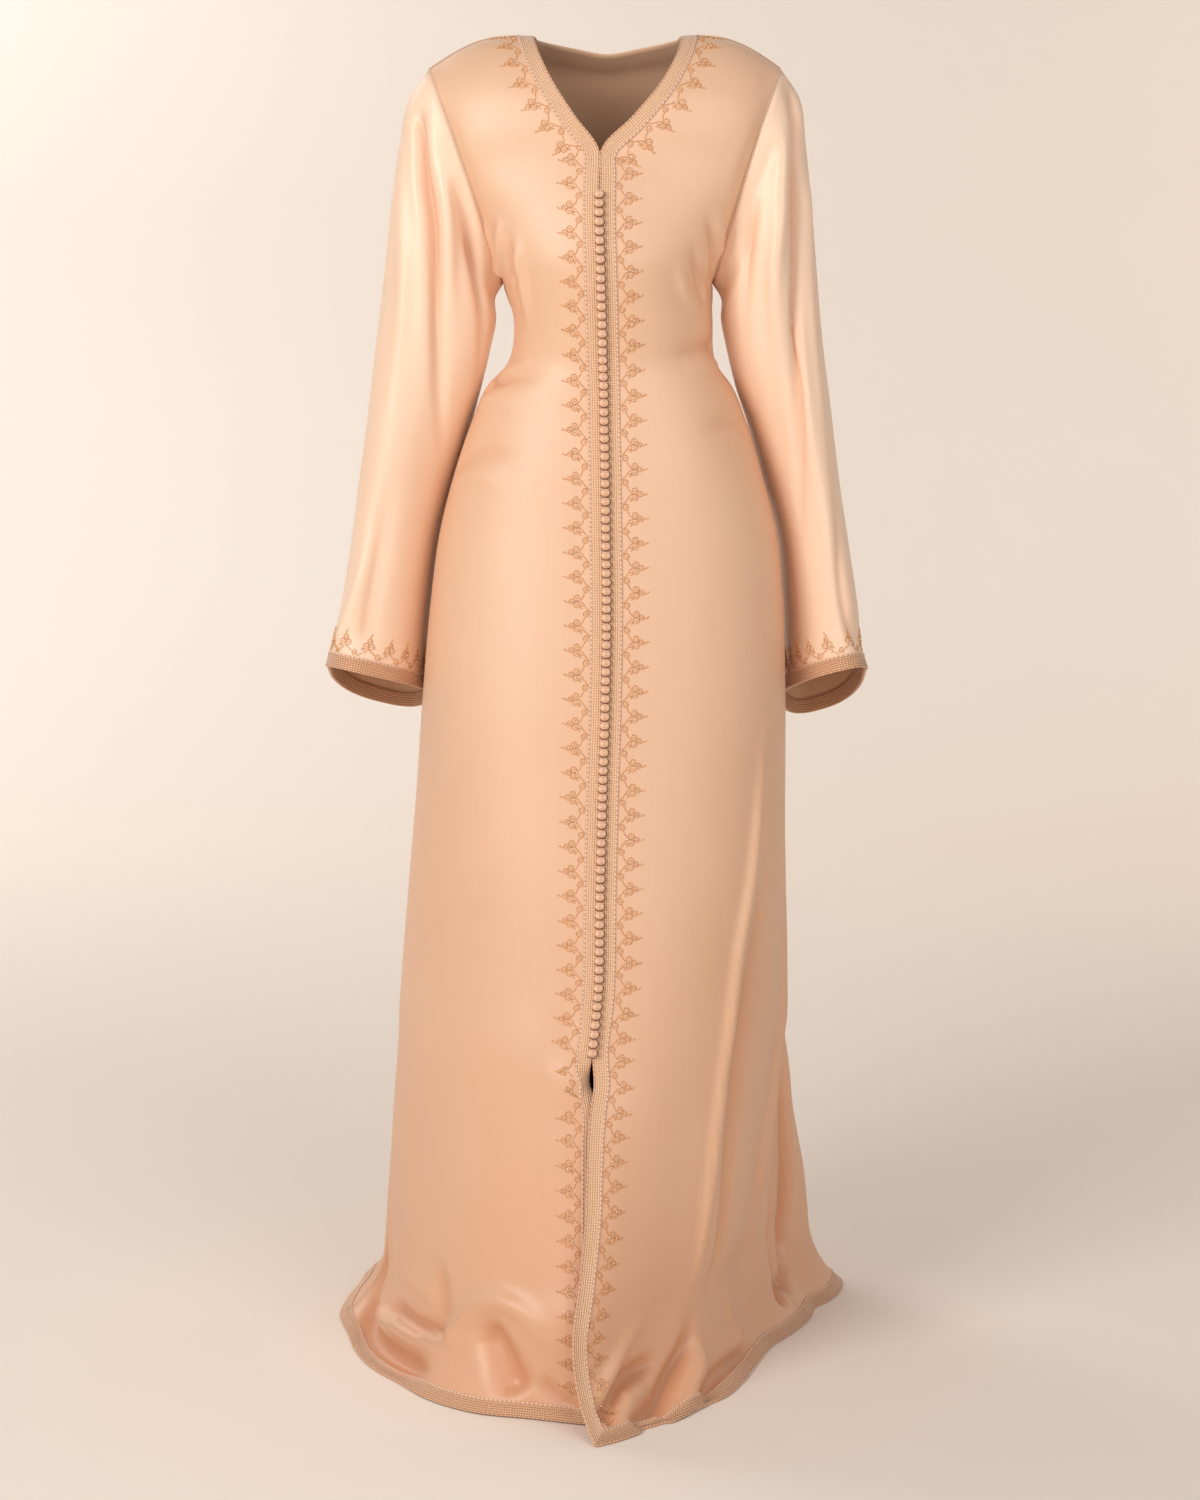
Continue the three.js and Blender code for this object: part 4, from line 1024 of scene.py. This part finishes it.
def finished(name, made, finish, slot, replaced=()):
    """Turns a bmesh into a smooth piece of the robe."""
    bmesh.ops.recalc_face_normals(made, faces=made.faces)
    mesh = bpy.data.meshes.new(name)
    made.to_mesh(mesh)
    made.free()
    mesh.shade_smooth()
    mesh.materials.clear()
    mesh.materials.append(finish)
    piece = bpy.data.objects.new(name, mesh)
    bpy.context.scene.collection.objects.link(piece)
    return entered(piece, slot, *replaced)


knot_silk, loop_cord_and_shade = knot_finish(), loop_finish()
for group in range(1, 13):
    name = f"knots_{group:02d}"
    low, high = (corner.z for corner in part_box(name))
    pitch = (high - low) / KNOT["per_group"]
    balls, loops = bmesh.new(), []
    relief = balls.verts.layers.float.new("relief")
    for k in range(KNOT["per_group"]):
        place, up, across, out = closure_at(low + (k + 0.5) * pitch)
        seat = place + out * KNOT["lift"]
        ball(balls, (seat, up, across, out), relief)
        bend = []
        for step in range(LOOP["steps"]):
            t = step / (LOOP["steps"] - 1)
            angle = math.radians(LOOP["start"] + LOOP["sweep"] * t)
            sweep = across * LOOP["wide"] * math.cos(angle) + up * LOOP["tall"] * math.sin(angle)
            bend.append(seat + sweep + out * (LOOP["belly"] * math.sin(math.pi * t)))
        loops.append(bend)
    finished(name + "_silk", balls, knot_silk, "knot_cord", (name,))
    cords(name + "_loops", loops, LOOP["radius"], loop_cord_and_shade, "knot_cord")

# ------------------------------------------------------------------ the embroidery
# Couched silk cord in a running vine beside every front and neck braid and above the cuffs: a stem, a
# small scroll and three leaf loops in each repeat, with copper beads and a few clear stones sewn in.
THREAD = {"radius": 0.5 * MM, "lift": 0.35 * MM}
BEAD = 1.0 * MM
STONE = 1.0 * MM
STONES_LEFT_OUT = 0.65
REPEAT = 25.9 * MM
CUFF_REPEAT = 25 * MM
FRONT_START = 24 * MM
WOBBLE = 0.15
MOTIF_SEED = 7


def arc(centre, radius, start, sweep, count):
    """Points on an arc, in millimetres along and away from the braid."""
    angles = [math.radians(start + sweep * k / count) for k in range(count + 1)]
    return [(centre[0] + radius * math.cos(a), centre[1] + radius * math.sin(a)) for a in angles]


def curve(points, steps=4):
    """A smooth line through points, in the plane of the motif."""
    line = np.array([(x, y, 0) for x, y in points], float)[None]
    ends = (straight_on(line[:, 0], line[:, 1]), straight_on(line[:, -1], line[:, -2]))
    return [tuple(p[:2]) for p in smooth(line, *ends, [steps] * (len(points) - 1))[0]]


VINE = [
    curve([(-11.0, 1.0), (-8.6, 3.4), (-5.2, 6.0), (-1.8, 8.6), (0, 11.8)]),
    curve([(0, 11.8), (2.4, 9.6), (5.0, 7.6), (7.8, 6.4), (10.0, 5.2)]),
    arc((12.4, 4.4), 3.0, 160, 330, 10),
    arc((-6.2, 9.4), 1.5, -60, 260, 6),
    arc((-3.4, 14.4), 3.1, -40, 330, 11),
    arc((3.4, 14.4), 3.1, 220, -330, 11),
    arc((0, 20.0), 2.7, -90, 345, 10),
    curve([(0, 22.7), (-1.0, 23.9), (-0.8, 25.4), (0.6, 26.8), (0.2, 28.4)]),
]
VINE_BEADS = [(-3.4, 14.4), (3.4, 14.4), (0, 20.0), (12.4, 4.4)]
VINE_STONES = [(0, 17.0), (0, 10.6)]
CUFF_STONES = VINE_STONES + [(-3.9, 6.0), (4.0, 20.5)]


def thread_finish():
    """Copper-brown silk thread with a slight glint."""
    material, tree, shader = finish_of("couched_thread", 0.4, Specular_IOR_Level=0.6, Metallic=0.15)
    yarn = grain_of(tree, 900.0, 2.0)
    coloured(tree, shader, ramp_of(tree, yarn, 0.35, (0.60, 0.26, 0.10, 1), 0.7, (0.96, 0.58, 0.29, 1)))
    embossed(tree, shader, yarn, 0.5, 0.2 * MM)
    return material


def bead_finish():
    """Copper-lined glass beads."""
    sockets = {"Specular_IOR_Level": 0.7, "Metallic": 0.55, "Coat_Weight": 0.6}
    material, tree, shader = finish_of("copper_beads", 0.18, **sockets)
    tint = grain_of(tree, 140.0, 1.0)
    coloured(tree, shader, blend_of(tree, tint, (0.84, 0.42, 0.15, 1), (1.0, 0.70, 0.36, 1)))
    return material


def stone_finish():
    """Small clear stones in claw settings."""
    sockets = {"Specular_IOR_Level": 0.9, "Metallic": 0.35, "Coat_Weight": 1.0}
    material, tree, shader = finish_of("clear_stones", 0.08, **sockets)
    tint = grain_of(tree, 600.0, 0.0)
    coloured(tree, shader, blend_of(tree, tint, (0.78, 0.66, 0.56, 1), (1.0, 0.95, 0.88, 1)))
    return material


thread_silk, copper_beads, clear_stones = thread_finish(), bead_finish(), stone_finish()


def embroider(name, spots, ground, stones=VINE_STONES):
    """Sews one motif at each spot, which has a place, the way along the braid, and the way out from it."""
    chance = random.Random(MOTIF_SEED)
    threads, copper, clear = [], bmesh.new(), bmesh.new()

    def seat(spot, point, lift):
        place, along, out = spot
        on_cloth, normal = ground.seat(place + (along * point[0] + out * point[1]) * MM)
        return on_cloth + normal * lift

    for spot in spots:
        for line in VINE:
            wobble = [
                (x + chance.uniform(-WOBBLE, WOBBLE), y + chance.uniform(-WOBBLE, WOBBLE)) for x, y in line
            ]
            threads.append([seat(spot, point, THREAD["lift"]) for point in wobble])
        for group, points, size, facets in ((copper, VINE_BEADS, BEAD, 2), (clear, stones, STONE, 1)):
            for point in points:
                if group is clear and chance.random() < STONES_LEFT_OUT:
                    continue
                place = Vector(seat(spot, point, size * 0.75))
                for vert in bmesh.ops.create_icosphere(group, subdivisions=facets, radius=size)["verts"]:
                    vert.co += place
    return [
        cords(name + "_vine", threads, THREAD["radius"], thread_silk, "beads"),
        finished(name + "_beads", copper, copper_beads, "beads"),
        finished(name + "_stones", clear, clear_stones, "beads"),
    ]


def spots_along(edge, repeat, start):
    """Spots one repeat apart on a braid's outer edge, from a distance along it to its end."""
    line, along, into, _ = edge
    outer = line + into * BRAID
    run = lengths(outer)
    count = round((run[-1] - start) / repeat)
    spots = []
    for k in range(count):
        at = start + (k + 0.5) * (run[-1] - start) / count
        place, way, out = (
            np.array([np.interp(at, run, part[:, axis]) for axis in range(3)]) for part in (outer, along, into)
        )
        spots.append((place, way / np.linalg.norm(way), out / np.linalg.norm(out)))
    return spots


for side in ("right", "left"):
    spots = spots_along(front_edges[side], REPEAT, FRONT_START)
    trims[side] += embroider(f"front_embroidery_{side}", spots, grounds[side])
trims["back"] += embroider("neck_embroidery_back", spots_along(neck_edge, REPEAT, 0), grounds["body"])
for side in ("right", "left"):
    name = "sleeve_" + side
    spots = spots_along(cuff_edges[side], CUFF_REPEAT, 0)
    trims[name] += embroider(f"cuff_embroidery_{side}", spots, grounds[name], CUFF_STONES)

# ------------------------------------------------------------------ the join stitches
# The seam at each armhole and along the shoulders is covered with a row of small hand stitches.
STITCH = {"radius": 0.75 * MM, "pitch": 3.4 * MM, "height": 0.5 * MM, "step": 3 * MM}
stitch_silk = cord_finish("join_stitches", (0.95, 0.74, 0.58, 1), (0.70, 0.44, 0.29, 1))


def seam_cord(name, line, ground):
    """A row of stitches over a seam, set on the cloth."""
    seats = [ground.seat(point) for point in evenly(line, STITCH["step"])]
    places = np.array([place + normal * STITCH["height"] for place, normal in seats])
    cord = twisted(name, places, STITCH["radius"], STITCH["pitch"])
    cord.data.materials.append(stitch_silk)
    entered(cord, "braid")


for side in ("right", "left"):
    seam_cord(f"armhole_stitches_front_{side}", sheets[side][rises[side]:, -1], grounds[side])
    edge = 0 if side == "right" else -1
    seam_cord(f"armhole_stitches_back_{side}", sheets["back"][rises["back"]:, edge], grounds["back"])
    seam_cord(f"shoulder_stitches_{side}", sheets[side][-1], grounds[side])

# ------------------------------------------------------------------ the cut
# Each panel's cut size and each sleeve's name are looked up here, and nothing is made from them.
for side in NODES:
    size = BACK_CUT if side == "back" else FRONT_CUT
for side in ("right", "left"):
    name = "sleeve_" + side

# ------------------------------------------------------------------ floor, light and camera
# A pale floor that runs up into a pale wall behind. A broad key light stands at the front left and a
# softer fill at the front right, and two more lamps light only the wall.
FLOOR = -1440 * MM
STAGE = {"half_width": 7.0, "front": -5.0, "back": 4.6, "bend": 1.4, "top": 3.6}


def stage_profile():
    """The floor, the bend and the wall behind, as points in Y and Z."""
    points = [(y, FLOOR) for y in np.linspace(STAGE["front"], STAGE["back"] - STAGE["bend"], 9)]
    for angle in np.linspace(0, math.pi / 2, 13)[1:]:
        points.append((
            STAGE["back"] - STAGE["bend"] + STAGE["bend"] * math.sin(angle),
            FLOOR + STAGE["bend"] * (1 - math.cos(angle)),
        ))
    points.append((STAGE["back"], STAGE["top"]))
    return points


profile = stage_profile()
sides = np.linspace(-STAGE["half_width"], STAGE["half_width"], 3)
places = np.array([[(x, y, z) for x in sides] for y, z in profile])
backdrop = laid("studio_floor", places, (8.0, 8.0))
paper, tree, shader = finish_of("pale_paper", 0.9, Specular_IOR_Level=0.15)
place = node(tree, "ShaderNodeTexCoord").outputs["Object"]
mottle = noise(tree, place, 1.3, 3.0)
paper_tone = blend_of(tree, mottle, (0.900, 0.830, 0.765, 1), (0.925, 0.862, 0.802, 1))
level = node(tree, "ShaderNodeSeparateXYZ", {"Vector": place}).outputs["Z"]
height = math_node(tree, "SUBTRACT", level, FLOOR)
wall_share = math_node(tree, "MINIMUM", math_node(tree, "DIVIDE", height, 0.5), 1.0)
coloured(tree, shader, blend_of(tree, wall_share, (0.91, 0.825, 0.750, 1), paper_tone))
backdrop.data.materials.append(paper)


def area_light(name, place, aim, size, power, colour):
    """A rectangular soft light that faces the point it is aimed at."""
    light = bpy.data.lights.new(name, "AREA")
    light.shape = "RECTANGLE"
    light.size, light.size_y = size
    light.energy = power
    light.color = colour
    lamp = bpy.data.objects.new(name, light)
    lamp.location = place
    lamp.rotation_euler = (Vector(aim) - Vector(place)).to_track_quat("-Z", "Y").to_euler()
    bpy.context.scene.collection.objects.link(lamp)


area_light("key", (-1.9, -2.4, 0.7), (0, 0, -0.6), (1.4, 2.0), 61, (1.0, 0.96, 0.91))
area_light("fill", (1.6, -3.2, 0.8), (0, 0, -0.7), (2.2, 2.4), 44, (1.0, 0.96, 0.92))
area_light("wall_wash", (-3.2, 2.7, 2.2), (-1.9, 4.6, -0.3), (2.2, 2.2), 96, (1.0, 0.97, 0.94))
area_light("wall_warm", (3.4, 2.4, 0.8), (1.7, 4.6, -0.9), (2.0, 2.0), 31, (1.0, 0.86, 0.74))
world = bpy.data.worlds.new("soft_room")
world.use_nodes = True
world.node_tree.nodes["Background"].inputs["Color"].default_value = (1.0, 0.97, 0.94, 1)
world.node_tree.nodes["Background"].inputs["Strength"].default_value = 0.30
bpy.context.scene.world = world

CAMERA = {"place": Vector((-8.9, -3300, -290)) * MM, "down": 8.22, "lens": 72, "sensor": 36}
eye = bpy.data.cameras.new("camera")
eye.lens = CAMERA["lens"]
eye.sensor_width = CAMERA["sensor"]
camera = bpy.data.objects.new("camera", eye)
camera.location = CAMERA["place"]
camera.rotation_euler = (math.radians(90 - CAMERA["down"]), 0, 0)
bpy.context.scene.collection.objects.link(camera)
bpy.context.scene.camera = camera
bpy.context.scene.view_settings.view_transform = "Standard"
